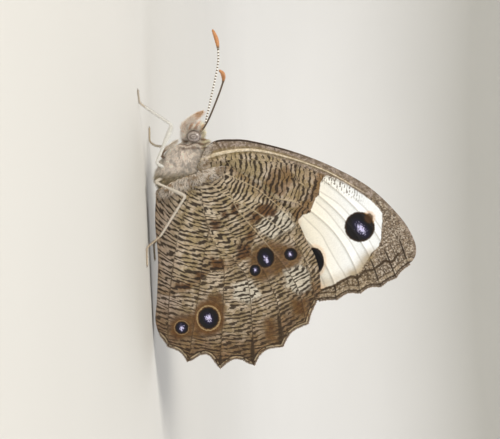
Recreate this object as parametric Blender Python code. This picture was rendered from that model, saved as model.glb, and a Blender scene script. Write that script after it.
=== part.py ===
# Common wood-nymph at rest with its wings closed over its back, life size.
# Sizes are in millimetres until a mesh is made: +X runs towards the tail,
# +Z is up from the surface it stands on, and its left side faces -Y.

import math

import bmesh
import bpy
from mathutils import Matrix, Vector
from mathutils.geometry import delaunay_2d_cdt

MM = 0.001
GAP = 0.3

# Wings: how far each one's middle surface stands from the plane of symmetry
WING_THICKNESS = 0.5
HINGE = (0.0, 8.2)
FOREWING_REST = 0.55
FOREWING_ROOT_SPREAD = 1.35
FOREWING_ROOT_REACH = 5.5
HINDWING_STEP = 1.05
HINDWING_BULGE_AT_THORAX = 0.42
HINDWING_BULGE_AT_ABDOMEN = 0.75
BULGE_GROWS_AFT = (2.0, 6.0)
BULGE_ENDS_AFT = (13.5, 20.0)
BULGE_ENDS_ABOVE_AXIS = (0.5, 3.6)
BODY_AXIS_START = 5.0
BODY_AXIS_HEIGHT = 4.7
BODY_AXIS_FALL = 0.22
VEIN_HALF_WIDTH = 0.24
VEIN_HEIGHT = 0.13
SWOLLEN_VEIN_HEIGHT = 0.24
VEIN_TAPER = 0.85
VEIN_STEP = 2.4

# Spacing of the wings' points: a fine grid near the root, a coarse one beyond it
COARSE_GRID = 3.0
FINE_GRID = 1.4
FINE_REACH = 8.0
GRID_EXTENT = 40.0
ROW_SPACING = 0.87
RIM_MARGIN = 0.3
VEIN_MARGIN = 0.35
RIM_STEP = 1.5
SCALLOP_STEP = 0.8
SCALLOP_POWER = 1.2
SAME_POINT = 0.2
EDGE_CLEARANCE = 0.12
MERGE_WITHIN = 0.03

# Forewing outline: leading edge from the root to the tip, then the outer margin
# from vein end to vein end, then the inner edge back to the root
FOREWING_COSTA = [
    (-2.8, 8.5), (-3.7, 10.0), (-3.8, 12.2), (-3.5, 14.9), (-1.9, 20.4),
    (0.5, 26.0), (3.8, 31.4), (8.1, 35.5), (11.3, 37.3), (13.4, 37.5), (14.9, 36.6),
]
FOREWING_MARGIN = [
    (14.9, 36.6), (16.7, 34.6), (17.9, 32.4), (18.7, 29.5), (19.5, 26.1), (19.6, 23.5),
]
FOREWING_SCALLOPS = [0.16, 0.15, 0.42, 0.5, 0.1]
FOREWING_INNER = [(19.6, 23.5), (18.9, 22.3), (10.5, 15.6), (4.0, 10.4), (-0.2, 7.2)]

# Hind wing outline: leading edge, toothed outer margin, inner edge, basal edge
HINDWING_COSTA = [
    (0.0, 8.2), (-0.2, 10.2), (-0.2, 11.8), (1.0, 13.7), (2.8, 16.1), (5.3, 18.7),
    (7.8, 21.0), (10.7, 22.3), (13.4, 23.5), (16.4, 24.0), (18.7, 23.8), (19.5, 23.3),
]
HINDWING_MARGIN = [
    (19.5, 23.3), (22.6, 22.0), (25.7, 18.3), (28.3, 14.1),
    (28.5, 9.2), (27.4, 4.8), (25.0, 2.0), (23.2, 0.8),
]
HINDWING_SCALLOPS = [0.1, 0.7, 1.0, 1.25, 1.7, 0.45, 0.1]
HINDWING_INNER = [(23.2, 0.8), (21.0, 0.45), (18.2, 0.8), (12.6, 1.3), (7.5, 1.15), (2.8, 1.5)]
HINDWING_BASE = [(2.8, 1.5), (2.1, 2.9), (1.3, 4.7), (0.6, 6.8), (0.0, 8.2)]

# Veins from root to margin; a swollen one gives its own widths and heights
FOREWING_VEINS = [
    ([(-1.2, 8.1), (-1.9, 9.9), (-2.4, 13.0), (-2.2, 16.2), (-1.0, 20.4), (1.2, 25.6), (4.6, 31.0)],
     (0.42, 0.2), (SWOLLEN_VEIN_HEIGHT, 0.1)),
    ([(-0.7, 8.1), (-1.0, 12.4), (-0.5, 17.4), (0.3, 22.0), (1.9, 25.4), (4.0, 29.6),
      (7.4, 33.7), (14.6, 36.3)], None, None),
    ([(0.2, 21.6), (3.0, 25.6), (6.9, 29.5), (11.2, 32.5), (16.4, 34.5)], None, None),
    ([(2.5, 21.4), (4.6, 24.2), (8.1, 27.6), (13.0, 30.7), (17.6, 32.3)], None, None),
    ([(4.8, 18.6), (5.9, 21.8), (9.7, 26.0), (14.6, 28.7), (18.3, 29.4)], None, None),
    ([(4.4, 16.3), (8.5, 20.0), (12.7, 23.8), (17.0, 25.8), (19.1, 26.0)], None, None),
    ([(2.4, 12.4), (8.0, 16.8), (14.0, 20.9), (19.2, 23.7)], None, None),
    ([(-0.5, 7.9), (2.4, 12.4), (4.4, 16.3), (4.8, 18.6), (5.2, 21.0)], None, None),
    ([(0.2, 21.6), (1.2, 21.1), (2.5, 21.4), (3.9, 21.5), (5.2, 21.2)], None, None),
]
HINDWING_VEINS = [
    ([(0.6, 8.2), (0.9, 11.2), (2.1, 13.7), (3.7, 16.3), (7.5, 20.1), (9.9, 21.7)], None, None),
    ([(0.9, 8.0), (2.3, 9.3), (4.5, 12.2), (6.6, 15.6), (10.3, 20.1),
      (14.4, 22.3), (19.1, 23.1)], None, None),
    ([(4.5, 12.2), (6.5, 13.1), (11.2, 16.8), (16.9, 20.5), (22.2, 21.7)], None, None),
    ([(6.5, 13.1), (8.9, 13.1), (10.6, 12.9), (14.3, 15.8), (20.0, 17.9), (25.3, 18.2)], None, None),
    ([(12.2, 10.9), (13.3, 12.1), (16.3, 13.8), (22.9, 14.1), (27.9, 14.1)], None, None),
    ([(11.3, 9.7), (14.1, 10.5), (18.6, 10.2), (24.2, 9.7), (28.1, 9.2)], None, None),
    ([(6.6, 8.2), (9.0, 8.6), (13.1, 7.6), (18.4, 6.6), (27.0, 4.9)], None, None),
    ([(2.2, 6.8), (4.6, 5.9), (9.5, 4.3), (18.3, 2.6), (24.6, 2.1)], None, None),
    ([(1.2, 7.8), (4.5, 8.0), (8.4, 8.5), (11.3, 9.7), (12.2, 10.9), (10.6, 12.9)], None, None),
]

# Body: stations along it, each with its lowest, highest and half-width values
THORAX = [
    (-3.9, 5.2, 7.6, 0.8), (-3.4, 4.2, 8.3, 1.4), (-2.4, 2.9, 8.8, 2.0),
    (-1.2, 2.05, 8.75, 2.25), (0.0, 1.6, 8.4, 2.3), (1.2, 1.4, 7.8, 2.15),
    (2.3, 1.8, 7.2, 1.85), (3.1, 2.7, 6.6, 1.4), (3.5, 3.7, 5.9, 0.8),
]
THORAX_SQUARENESS = 2.3
THORAX_DOME = 0.3
WING_SLOT = [(-3.2, 8.35), (-0.4, 6.85), (0.6, 7.2), (2.2, 9.6), (-3.7, 9.6)]

# Abdomen: places along its axis, each with its height and radius
ABDOMEN_AXIS = [
    (2.0, 5.25, 1.2), (3.5, 5.0, 1.4), (5.0, 4.75, 1.62), (7.0, 4.4, 1.72), (9.0, 4.0, 1.72),
    (11.0, 3.55, 1.65), (13.0, 3.05, 1.48), (14.8, 2.6, 1.18), (16.0, 2.3, 0.78), (16.6, 2.2, 0.4),
]
ABDOMEN_DOMES = (0.2, 0.25)
ABDOMEN_SEGMENTS = 8
SEGMENT_GROOVE = 0.05
GROOVE_SHARE = 0.18
HEAD_CENTRE = (-4.55, 0.0, 7.0)
HEAD_RADII = (1.35, 1.4, 1.5)
EYE_CENTRE = (-4.46, 1.3, 7.1)
EYE_RADII = (0.8, 0.62, 0.98)
BODY_TILT = math.radians(12)
EYE_TILT = math.radians(7)

# Legs: hip, trochanter, knee, ankle, heel and toe; the toes lie along the floor
FEMUR_RADII = (0.3, 0.32, 0.36, 0.27)
SHIN_RADII = (0.26, 0.27, 0.25)
TARSUS_RADIUS = 0.26
TOE_RADIUS = 0.2
FLOOR_FLAT = 0.04
LEGS = {
    "midleg_left": [
        (-0.3, -1.3, 2.7), (-1.0, -2.2, 1.75), (-6.25, -4.2, 4.4),
        (-9.0, -5.3, 0.8), (-9.6, -5.7, 0.0), (-11.3, -7.0, 0.0)],
    "midleg_right": [
        (-0.3, 1.3, 2.7), (-0.9, 2.3, 1.8), (-2.5, 5.9, 5.0),
        (-3.05, 6.9, 0.9), (-3.65, 7.0, 0.0), (-5.6, 7.7, 0.0)],
    "hindleg_left": [
        (1.1, -1.2, 2.5), (1.6, -3.0, 1.5), (3.6, -4.4, 5.8),
        (9.0, -5.1, 2.1), (10.5, -5.4, 0.0), (12.9, -6.0, 0.0)],
    "hindleg_right": [
        (1.1, 1.2, 2.5), (1.6, 3.0, 1.5), (4.0, 4.5, 5.8),
        (9.4, 5.3, 2.1), (10.9, 5.7, 0.0), (13.3, 6.4, 0.0)],
}
FORELEG_PATH = [
    (-1.5, 0.9, 3.0), (-2.05, 0.95, 2.25), (-2.8, 0.95, 2.45), (-3.5, 0.9, 3.35), (-4.05, 0.85, 4.35),
]
FORELEG_RADII = [0.27, 0.3, 0.33, 0.3, 0.14]

# Feelers and palps: paths from inside the head out to their tips
ANTENNA_PATHS = {
    "antenna_left": [(-5.0, -0.45, 7.9), (-5.55, -0.8, 8.5), (-6.9, -2.1, 9.4), (-9.2, -4.4, 10.6),
                     (-11.05, -6.6, 11.5), (-12.3, -8.3, 12.0), (-13.1, -9.6, 12.0), (-13.6, -10.4, 11.6)],
    "antenna_right": [(-5.0, 0.45, 7.9), (-5.6, 0.6, 8.5), (-7.0, 1.0, 8.9), (-9.4, 1.9, 9.5),
                      (-13.9, 3.2, 10.6), (-16.2, 3.7, 10.8), (-17.9, 4.0, 10.6), (-19.3, 4.2, 10.1)],
}
ANTENNA_RADII = [0.25, 0.25, 0.25, 0.25, 0.25, 0.3, 0.4, 0.22]
PALP_PATHS = {
    "palp_left": [
        (-4.9, -0.6, 6.0), (-5.7, -0.62, 5.7), (-6.3, -0.62, 6.1), (-6.8, -0.56, 6.8), (-7.2, -0.45, 7.65)],
    "palp_right": [
        (-4.9, 0.6, 6.0), (-5.8, 0.62, 5.8), (-6.6, 0.62, 6.4), (-7.2, 0.56, 7.3), (-7.8, 0.45, 8.35)],
}
PALP_RADII = [0.3, 0.38, 0.44, 0.38, 0.13]

TUBE_SIDES = 8
BODY_SIDES = 20
DOME = 0.6


def clear_scene():
    for item in list(bpy.data.objects):
        bpy.data.objects.remove(item, do_unlink=True)


def finish(name, colour, roughness):
    material = bpy.data.materials.new(name)
    material.use_nodes = True
    shader = material.node_tree.nodes["Principled BSDF"]
    shader.inputs["Base Color"].default_value = (*colour, 1.0)
    shader.inputs["Roughness"].default_value = roughness
    shader.inputs["Metallic"].default_value = 0.0
    return material


def add_body(name, points, faces, material, parent):
    """A closed mesh object from points in millimetres, its faces turned outwards."""
    mesh = bpy.data.meshes.new(name)
    shape = bmesh.new()
    corners = [shape.verts.new(Vector(point) * MM) for point in points]
    for face in faces:
        shape.faces.new([corners[index] for index in face])
    bmesh.ops.triangulate(shape, faces=shape.faces[:])
    bmesh.ops.recalc_face_normals(shape, faces=shape.faces[:])
    shape.to_mesh(mesh)
    shape.free()
    mesh.shade_smooth()
    mesh.set_sharp_from_angle(angle=math.radians(40))
    mesh.materials.append(material)
    body = bpy.data.objects.new(name, mesh)
    body.parent = parent
    bpy.context.scene.collection.objects.link(body)
    return body


def cut(body, cutters, solver="EXACT"):
    """Part a body from its neighbours with thin cuts."""
    for cutter in cutters:
        cutter.hide_render = True
        cutter.display_type = "WIRE"
        difference = body.modifiers.new(cutter.name, "BOOLEAN")
        difference.operation = "DIFFERENCE"
        difference.solver = solver
        difference.object = cutter


def clearance(body):
    """A copy of a body grown by the gap, to cut what it meets."""
    grown = body.copy()
    grown.data = body.data.copy()
    grown.name = f"clearance_{body.name}"
    grown.modifiers.clear()
    bpy.context.scene.collection.objects.link(grown)
    directions = [vert.normal.copy() for vert in grown.data.vertices]
    for vert, direction in zip(grown.data.vertices, directions):
        vert.co += direction * GAP * MM
    return grown


def smoothstep(low, high, value):
    share = min(1.0, max(0.0, (value - low) / (high - low)))
    return share * share * (3.0 - 2.0 * share)


def spline(points, steps):
    """A smooth line through the points, with the same number of steps in each span."""
    nodes = [Vector(point) for point in points]
    padded = [2 * nodes[0] - nodes[1]] + nodes + [2 * nodes[-1] - nodes[-2]]
    line = [nodes[0]]
    for index in range(1, len(padded) - 2):
        before, start, end, after = padded[index - 1:index + 3]
        for step in range(1, steps + 1):
            share = step / steps
            pull = (end - before) * share
            pull = pull + (2 * before - 5 * start + 4 * end - after) * share ** 2
            pull = pull + (3 * start - before - 3 * end + after) * share ** 3
            line.append(start + pull / 2)
    return line


def spline_by_length(points, step):
    """A smooth line through flat points, resampled at an even step."""
    fine = spline(points, 12)
    lengths = [0.0]
    for start, end in zip(fine, fine[1:]):
        lengths.append(lengths[-1] + (end - start).length)
    count = max(1, round(lengths[-1] / step))
    line = []
    span = 0
    for index in range(count + 1):
        target = lengths[-1] * index / count
        while span < len(fine) - 2 and lengths[span + 1] < target:
            span += 1
        share = (target - lengths[span]) / (lengths[span + 1] - lengths[span])
        line.append(fine[span].lerp(fine[span + 1], share))
    return line


def smooth_values(values, steps):
    """Values eased along the same spans as a spline's points."""
    eased = [values[0]]
    for start, end in zip(values, values[1:]):
        for index in range(1, steps + 1):
            eased.append(start + (end - start) * smoothstep(0, steps, index))
    return eased


def skin_rings(rings, first_pole, last_pole):
    """Faces between rings of points, closed by a pole at each end."""
    sides = len(rings[0])
    points = [point for ring in rings for point in ring] + [first_pole, last_pole]
    start, end = len(points) - 2, len(points) - 1
    last = (len(rings) - 1) * sides
    faces = []
    for side in range(sides):
        turn = (side + 1) % sides
        faces.append((start, turn, side))
        faces.append((end, last + side, last + turn))
        for ring in range(len(rings) - 1):
            here, there = ring * sides, (ring + 1) * sides
            faces.append((here + side, here + turn, there + turn, there + side))
    return points, faces


def tube(name, path, radii, material, parent, steps=3, floor=False):
    """A round limb along a path, with domed ends; one that lies on the floor is flat below."""
    line = spline(path, steps)
    widths = smooth_values(radii, steps)
    across = (line[-1] - line[0]).cross(Vector((0.0, 0.0, 1.0)))
    rings = []
    for index, centre in enumerate(line):
        along = (line[min(index + 1, len(line) - 1)] - line[max(index - 1, 0)]).normalized()
        across = (across - along * across.dot(along)).normalized()
        other = along.cross(across)
        ring = []
        for side in range(TUBE_SIDES):
            angle = 2 * math.pi * (side + 0.5) / TUBE_SIDES
            point = centre + widths[index] * (across * math.cos(angle) + other * math.sin(angle))
            if floor:
                point.z = max(point.z, 0.0)
            ring.append(point)
        rings.append(ring)
    first = line[0] - (line[1] - line[0]).normalized() * widths[0] * DOME
    last = line[-1] + (line[-1] - line[-2]).normalized() * widths[-1] * DOME
    points, faces = skin_rings(rings, first, last)
    return add_body(name, points, faces, material, parent)


def body_rings(stations, squareness):
    """Upright rounded rings from (place, lowest, highest, half-width) stations."""
    rings = []
    for place, low, high, width in stations:
        middle, reach = (low + high) / 2, (high - low) / 2
        ring = []
        for side in range(BODY_SIDES):
            angle = 2 * math.pi * side / BODY_SIDES
            sine, cosine = math.sin(angle), math.cos(angle)
            round_off = (abs(sine) ** squareness + abs(cosine) ** squareness) ** (-1 / squareness)
            ring.append((place, width * round_off * cosine, middle + reach * round_off * sine))
        rings.append(ring)
    return rings


def ellipsoid(name, centre, radii, material, parent, segments=20, rings=14, tilt=0.0):
    shape = bmesh.new()
    bmesh.ops.create_uvsphere(shape, u_segments=segments, v_segments=rings, radius=1.0)
    size = Matrix.Diagonal([*radii, 1.0])
    place = Matrix.Translation(centre) @ Matrix.Rotation(tilt, 4, "Y") @ size
    shape.transform(place)
    points = [vert.co.copy() for vert in shape.verts]
    faces = [[vert.index for vert in face.verts] for face in shape.faces]
    shape.free()
    return add_body(name, points, faces, material, parent)


def forewing_offset(aft, up):
    reach = math.hypot(aft - HINGE[0], up - HINGE[1])
    return FOREWING_REST + FOREWING_ROOT_SPREAD * math.exp(-(reach / FOREWING_ROOT_REACH) ** 2)


def hindwing_offset(aft, up):
    """The hind wing lies over the forewing and swells outwards round the body."""
    bulge = HINDWING_BULGE_AT_THORAX
    bulge += (HINDWING_BULGE_AT_ABDOMEN - HINDWING_BULGE_AT_THORAX) * smoothstep(*BULGE_GROWS_AFT, aft)
    bulge *= 1.0 - smoothstep(*BULGE_ENDS_AFT, aft)
    axis_height = BODY_AXIS_HEIGHT - BODY_AXIS_FALL * max(0.0, aft - BODY_AXIS_START)
    bulge *= 1.0 - smoothstep(*BULGE_ENDS_ABOVE_AXIS, up - axis_height)
    return forewing_offset(aft, up) + HINDWING_STEP + bulge


def scalloped(ends, depths):
    """An outer margin: a shallow arc bowed inwards between one vein end and the next."""
    line = []
    for start, end, depth in zip(ends, ends[1:], depths):
        start, end = Vector(start), Vector(end)
        inward = Vector((end.y - start.y, start.x - end.x)).normalized()
        count = max(2, round((end - start).length / SCALLOP_STEP))
        for index in range(count):
            share = index / count
            bow = math.sin(math.pi * share) ** SCALLOP_POWER
            line.append(start.lerp(end, share) + inward * depth * bow)
    return line


def closed_outline(*edges):
    """Join edges end to end, leaving out each one's last point, which starts the next."""
    outline = []
    for edge in edges:
        outline += edge
    tidy = []
    for point in outline:
        if not tidy or (point - tidy[-1]).length > SAME_POINT:
            tidy.append(point)
    if (tidy[0] - tidy[-1]).length < SAME_POINT:
        tidy.pop()
    return tidy


def inside(point, outline):
    """Whether a flat point lies within a closed outline."""
    crossings = False
    for start, end in zip(outline, outline[1:] + outline[:1]):
        if (start.y > point.y) != (end.y > point.y):
            meets = start.x + (point.y - start.y) * (end.x - start.x) / (end.y - start.y)
            if point.x < meets:
                crossings = not crossings
    return crossings


def distance_along(point, line):
    """Distance from a flat point to a line, and the share of the line where it is nearest."""
    best, place = 1e9, 0.0
    for index, (start, end) in enumerate(zip(line, line[1:])):
        run = end - start
        share = min(1.0, max(0.0, (point - start).dot(run) / run.length_squared))
        gap = (point - (start + run * share)).length
        if gap < best:
            best, place = gap, (index + share) / (len(line) - 1)
    return best, place


def vein_lines(veins):
    """Each vein's centre line with its half-widths and heights from root to end."""
    plain_widths = (VEIN_HALF_WIDTH, VEIN_HALF_WIDTH * VEIN_TAPER)
    plain_heights = (VEIN_HEIGHT, VEIN_HEIGHT)
    lines = []
    for points, widths, heights in veins:
        centre = spline_by_length(points, VEIN_STEP)
        lines.append((centre, widths or plain_widths, heights or plain_heights))
    return lines


def vein_rise(point, lines):
    """How far the veins raise the wing's surface at a point."""
    rise = 0.0
    for centre, widths, heights in lines:
        gap, place = distance_along(point, centre)
        width = widths[0] + (widths[1] - widths[0]) * place
        height = heights[0] + (heights[1] - heights[0]) * place
        rise = max(rise, height * max(0.0, 1.0 - gap / width))
    return rise


def net_points(outline, lines):
    """The wing's flat points and the lines that its triangles keep to."""
    points = list(outline)
    edges = [(index, (index + 1) % len(outline)) for index in range(len(outline))]
    rim = outline + outline[:1]
    for centre, widths, _ in lines:
        for offset in (-1, 0, 1):
            strand = []
            for index, point in enumerate(centre):
                run = centre[min(index + 1, len(centre) - 1)] - centre[max(index - 1, 0)]
                across = Vector((-run.y, run.x)).normalized()
                width = widths[0] + (widths[1] - widths[0]) * index / (len(centre) - 1)
                beside = point + across * width * offset
                if inside(beside, outline) and distance_along(beside, rim)[0] > EDGE_CLEARANCE:
                    strand.append(beside)
            first = len(points)
            points += strand
            edges += [(first + index, first + index + 1) for index in range(len(strand) - 1)]
    ahead = min(point.x for point in outline)
    below = min(point.y for point in outline)
    hinge = Vector(HINGE)
    for step, near in ((FINE_GRID, True), (COARSE_GRID, False)):
        count = int(GRID_EXTENT / step)
        for row in range(count):
            for column in range(count):
                aft = ahead + step * (column + 0.5 * (row % 2))
                spot = Vector((aft, below + step * ROW_SPACING * row))
                close = (spot - hinge).length < FINE_REACH
                if close != near or not inside(spot, outline):
                    continue
                if distance_along(spot, rim)[0] < RIM_MARGIN * step:
                    continue
                nearest = min([distance_along(spot, centre)[0] for centre, _, _ in lines], default=step)
                if nearest > VEIN_MARGIN * step:
                    points.append(spot)
    return points, edges


def slab(name, side, outline, lines, offset, half_thickness, material, parent):
    """A curved plate whose two faces have the same triangles, with veins raised on both."""
    flat, edges = net_points(outline, lines)
    spots, _, triangles, _, _, _ = delaunay_2d_cdt(flat, edges, [], 0, MERGE_WITHIN)
    kept = []
    for triangle in triangles:
        middle = sum((spots[index] for index in triangle), Vector((0.0, 0.0))) / 3
        if inside(middle, outline):
            kept.append(tuple(triangle))
    used = sorted({index for triangle in kept for index in triangle})
    order = {index: place for place, index in enumerate(used)}
    outer, inner = [], []
    for index in used:
        aft, up = spots[index]
        middle = offset(aft, up)
        half = half_thickness + vein_rise(spots[index], lines)
        outer.append((aft, side * (middle + half), up))
        inner.append((aft, side * (middle - half), up))
    count = len(used)
    faces = []
    border = {}
    for triangle in kept:
        here = [order[index] for index in triangle]
        faces.append(here)
        faces.append([index + count for index in reversed(here)])
        for start, end in zip(here, here[1:] + here[:1]):
            if (end, start) in border:
                del border[(end, start)]
            else:
                border[(start, end)] = True
    for start, end in border:
        faces.append((end, start, start + count, end + count))
    return add_body(name, outer + inner, faces, material, parent)


def forewing_outline():
    return closed_outline(
        spline_by_length(FOREWING_COSTA, RIM_STEP)[:-1],
        scalloped(FOREWING_MARGIN, FOREWING_SCALLOPS),
        spline_by_length(FOREWING_INNER, 2 * RIM_STEP))


def hindwing_outline():
    return closed_outline(
        spline_by_length(HINDWING_COSTA, RIM_STEP)[:-1],
        scalloped(HINDWING_MARGIN, HINDWING_SCALLOPS),
        spline_by_length(HINDWING_INNER, 2 * RIM_STEP)[:-1],
        spline_by_length(HINDWING_BASE, RIM_STEP))


def make_wings(parent):
    membrane = finish("wing_membrane", (0.36, 0.28, 0.19), 0.7)
    plans = (
        ("forewing", forewing_outline(), vein_lines(FOREWING_VEINS), forewing_offset),
        ("hindwing", hindwing_outline(), vein_lines(HINDWING_VEINS), hindwing_offset),
    )
    for name, outline, lines, offset in plans:
        for side, word in ((-1, "left"), (1, "right")):
            slab(f"{name}_{word}", side, outline, lines, offset, WING_THICKNESS / 2, membrane, parent)


def wing_slots(parent):
    """Cutters for the shallow slots in the thorax where the forewings sit."""
    blank = bpy.data.materials.new("cutter")
    outline = [Vector(corner) for corner in WING_SLOT]
    half = WING_THICKNESS / 2 + SWOLLEN_VEIN_HEIGHT + GAP
    return [
        slab(f"slot_{side:+d}", side, outline, [], forewing_offset, half, blank, parent)
        for side in (-1, 1)
    ]


def make_thorax(parent):
    flesh = finish("thorax_coat", (0.50, 0.42, 0.33), 0.85)
    stations = spline(THORAX, 3)
    rings = body_rings(stations, THORAX_SQUARENESS)
    first, last = stations[0], stations[-1]
    front = (first[0] - THORAX_DOME, 0.0, (first[1] + first[2]) / 2)
    back = (last[0] + THORAX_DOME, 0.0, (last[1] + last[2]) / 2)
    points, faces = skin_rings(rings, front, back)
    return add_body("thorax", points, faces, flesh, parent)


def make_abdomen(parent):
    coat = finish("abdomen_coat", (0.40, 0.33, 0.25), 0.85)
    line = spline(ABDOMEN_AXIS, 4)
    start, end = line[0][0], line[-1][0]
    stations = []
    for place, height, radius in line:
        phase = (place - start) / (end - start) * ABDOMEN_SEGMENTS
        pinch = 1.0 - SEGMENT_GROOVE * max(0.0, 1.0 - abs(phase - round(phase)) / GROOVE_SHARE)
        stations.append((place, height - radius * pinch, height + radius * pinch, radius * pinch))
    rings = body_rings(stations, 2.0)
    front = (start - ABDOMEN_DOMES[0], 0.0, line[0][1])
    back = (end + ABDOMEN_DOMES[1], 0.0, line[-1][1])
    points, faces = skin_rings(rings, front, back)
    return add_body("abdomen", points, faces, coat, parent)


def make_head(parent):
    coat = finish("head_coat", (0.45, 0.38, 0.30), 0.85)
    return ellipsoid("head", HEAD_CENTRE, HEAD_RADII, coat, parent, tilt=BODY_TILT)


def make_eyes(parent):
    lens = finish("compound_eye", (0.20, 0.16, 0.13), 0.35)
    eyes = []
    for side, word in ((-1, "left"), (1, "right")):
        centre = (EYE_CENTRE[0], side * EYE_CENTRE[1], EYE_CENTRE[2])
        eyes.append(ellipsoid(f"eye_{word}", centre, EYE_RADII, lens, parent, 16, 10, EYE_TILT))
    return eyes


def make_feelers(parent):
    """Both antennae and both palps."""
    shaft = finish("antenna_shaft", (0.30, 0.22, 0.15), 0.55)
    brush = finish("palp_brush", (0.42, 0.32, 0.22), 0.85)
    feelers = [tube(name, path, ANTENNA_RADII, shaft, parent) for name, path in ANTENNA_PATHS.items()]
    return feelers + [tube(name, path, PALP_RADII, brush, parent) for name, path in PALP_PATHS.items()]


def make_leg(parent, name, joints, material):
    """Femur, shin and foot of one walking leg, parted at the knee and the ankle."""
    hip, trochanter, knee, ankle, heel, toe = [Vector(joint) for joint in joints]
    shin = (ankle - knee).normalized()
    foot = (heel - ankle).normalized()
    thigh = [hip, trochanter, trochanter.lerp(knee, 0.5), knee]
    femur = tube(f"{name}_femur", thigh, FEMUR_RADII, material, parent)
    top = knee + shin * (FEMUR_RADII[-1] + GAP + SHIN_RADII[0] * DOME)
    tube(f"{name}_tibia", [top, top.lerp(ankle, 0.5), ankle], SHIN_RADII, material, parent)
    start = ankle + foot * (SHIN_RADII[-1] * DOME + GAP + TARSUS_RADIUS * DOME)
    rest = Vector((0.0, 0.0, TARSUS_RADIUS - FLOOR_FLAT))
    tip = Vector((0.0, 0.0, TOE_RADIUS - FLOOR_FLAT))
    path = [start, heel + rest, heel.lerp(toe, 0.5) + rest, toe + tip]
    radii = (TARSUS_RADIUS, TARSUS_RADIUS, TARSUS_RADIUS, TOE_RADIUS)
    tube(f"{name}_tarsus", path, radii, material, parent, floor=True)
    return femur


def make_legs(parent):
    """Four walking legs and the two small brush-like forelegs; returns what roots in the thorax."""
    chitin = finish("leg_chitin", (0.62, 0.54, 0.42), 0.7)
    roots = [make_leg(parent, name, joints, chitin) for name, joints in LEGS.items()]
    for side, word in ((-1, "left"), (1, "right")):
        path = [(aft, side * out, up) for aft, out, up in FORELEG_PATH]
        roots.append(tube(f"foreleg_{word}", path, FORELEG_RADII, chitin, parent))
    return roots


def stand_on_origin(parent):
    """Move the whole animal so that the middle of its box's underside is the origin."""
    bpy.context.view_layer.update()
    points = [
        body.matrix_world @ vert.co
        for body in bpy.data.objects if body.type == "MESH" and not body.hide_render
        for vert in body.data.vertices
    ]
    low = [min(point[axis] for point in points) for axis in range(3)]
    high = [max(point[axis] for point in points) for axis in range(3)]
    parent.location = (-(low[0] + high[0]) / 2, -(low[1] + high[1]) / 2, -low[2])


def main():
    clear_scene()
    butterfly = bpy.data.objects.new("butterfly", None)
    bpy.context.scene.collection.objects.link(butterfly)
    thorax = make_thorax(butterfly)
    abdomen = make_abdomen(butterfly)
    head = make_head(butterfly)
    eyes = make_eyes(butterfly)
    feelers = make_feelers(butterfly)
    roots = make_legs(butterfly)
    make_wings(butterfly)
    around_head = clearance(head)
    around_eyes = [clearance(eye) for eye in eyes]
    cut(head, around_eyes)
    cut(abdomen, [clearance(thorax)])
    around_roots = [clearance(root) for root in roots]
    cut(thorax, [around_head] + around_eyes + wing_slots(butterfly) + around_roots, "MANIFOLD")
    for feeler in feelers:
        cut(feeler, [around_head])
    stand_on_origin(butterfly)


main()
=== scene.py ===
# A common wood-nymph butterfly at rest, its wings closed over its back, life size.
# Shapes are given in millimetres, as in the part's source: +X runs towards the tail,
# +Z is up from the floor, the left side faces -Y and y = 0 is the plane of symmetry.

import math

import bmesh
import bpy
import numpy as np
from mathutils import Matrix, Vector
from mathutils.geometry import delaunay_2d_cdt


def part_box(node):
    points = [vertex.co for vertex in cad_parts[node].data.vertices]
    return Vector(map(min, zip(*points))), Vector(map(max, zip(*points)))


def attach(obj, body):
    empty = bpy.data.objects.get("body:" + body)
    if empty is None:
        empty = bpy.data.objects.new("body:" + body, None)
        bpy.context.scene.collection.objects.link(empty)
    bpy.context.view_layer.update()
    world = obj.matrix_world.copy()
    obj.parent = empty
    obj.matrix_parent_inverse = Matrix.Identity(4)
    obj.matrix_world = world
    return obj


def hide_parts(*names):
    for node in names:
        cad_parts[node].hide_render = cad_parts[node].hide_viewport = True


MM = 0.001
SEED = 7

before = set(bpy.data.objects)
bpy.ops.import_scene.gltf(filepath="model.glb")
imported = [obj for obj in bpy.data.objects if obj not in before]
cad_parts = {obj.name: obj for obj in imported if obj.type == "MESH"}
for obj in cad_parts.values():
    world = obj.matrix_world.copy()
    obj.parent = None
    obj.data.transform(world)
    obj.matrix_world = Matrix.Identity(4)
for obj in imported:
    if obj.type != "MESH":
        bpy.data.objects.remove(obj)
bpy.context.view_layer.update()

# Where the eyes' centres lie in these millimetres, which gives the step to the frame's origin
EYE_CENTRE = Vector((-4.46, 1.3, 7.1))
EYE_RADII = Vector((0.8, 0.62, 0.98))
EYE_TILT = math.radians(7)

# Wings: how far each one's middle surface stands from the plane of symmetry
HINGE = np.array((0.0, 8.2))
FOREWING_REST = 0.55
FOREWING_ROOT_SPREAD = 1.35
FOREWING_ROOT_REACH = 5.5
HINDWING_STEP = 1.05
HINDWING_BULGE_AT_THORAX = 0.42
HINDWING_BULGE_AT_ABDOMEN = 0.75
BULGE_GROWS_AFT = (2.0, 6.0)
BULGE_ENDS_AFT = (13.5, 20.0)
BULGE_ENDS_ABOVE_AXIS = (0.5, 3.6)
BODY_AXIS_START = 5.0
BODY_AXIS_HEIGHT = 4.7
BODY_AXIS_FALL = 0.22

# The membrane as it is shown: thin, inside its solid, and short of its outline by the fringe
MEMBRANE_HALF = 0.07
MEMBRANE_GRID = 0.135
EDGE_INSET = 0.05
FRINGE = 0.22
FRINGE_STEP = 0.075
VEIN_RISE = 0.09
VEIN_WIDTH = 0.15
PLEAT_DEPTH = 0.11

# How finely edges and lines on the wing are drawn, and a distance beyond every marking
EDGE_STEPS = 12
LINE_STEPS = 6
FAR = 9.0

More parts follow.
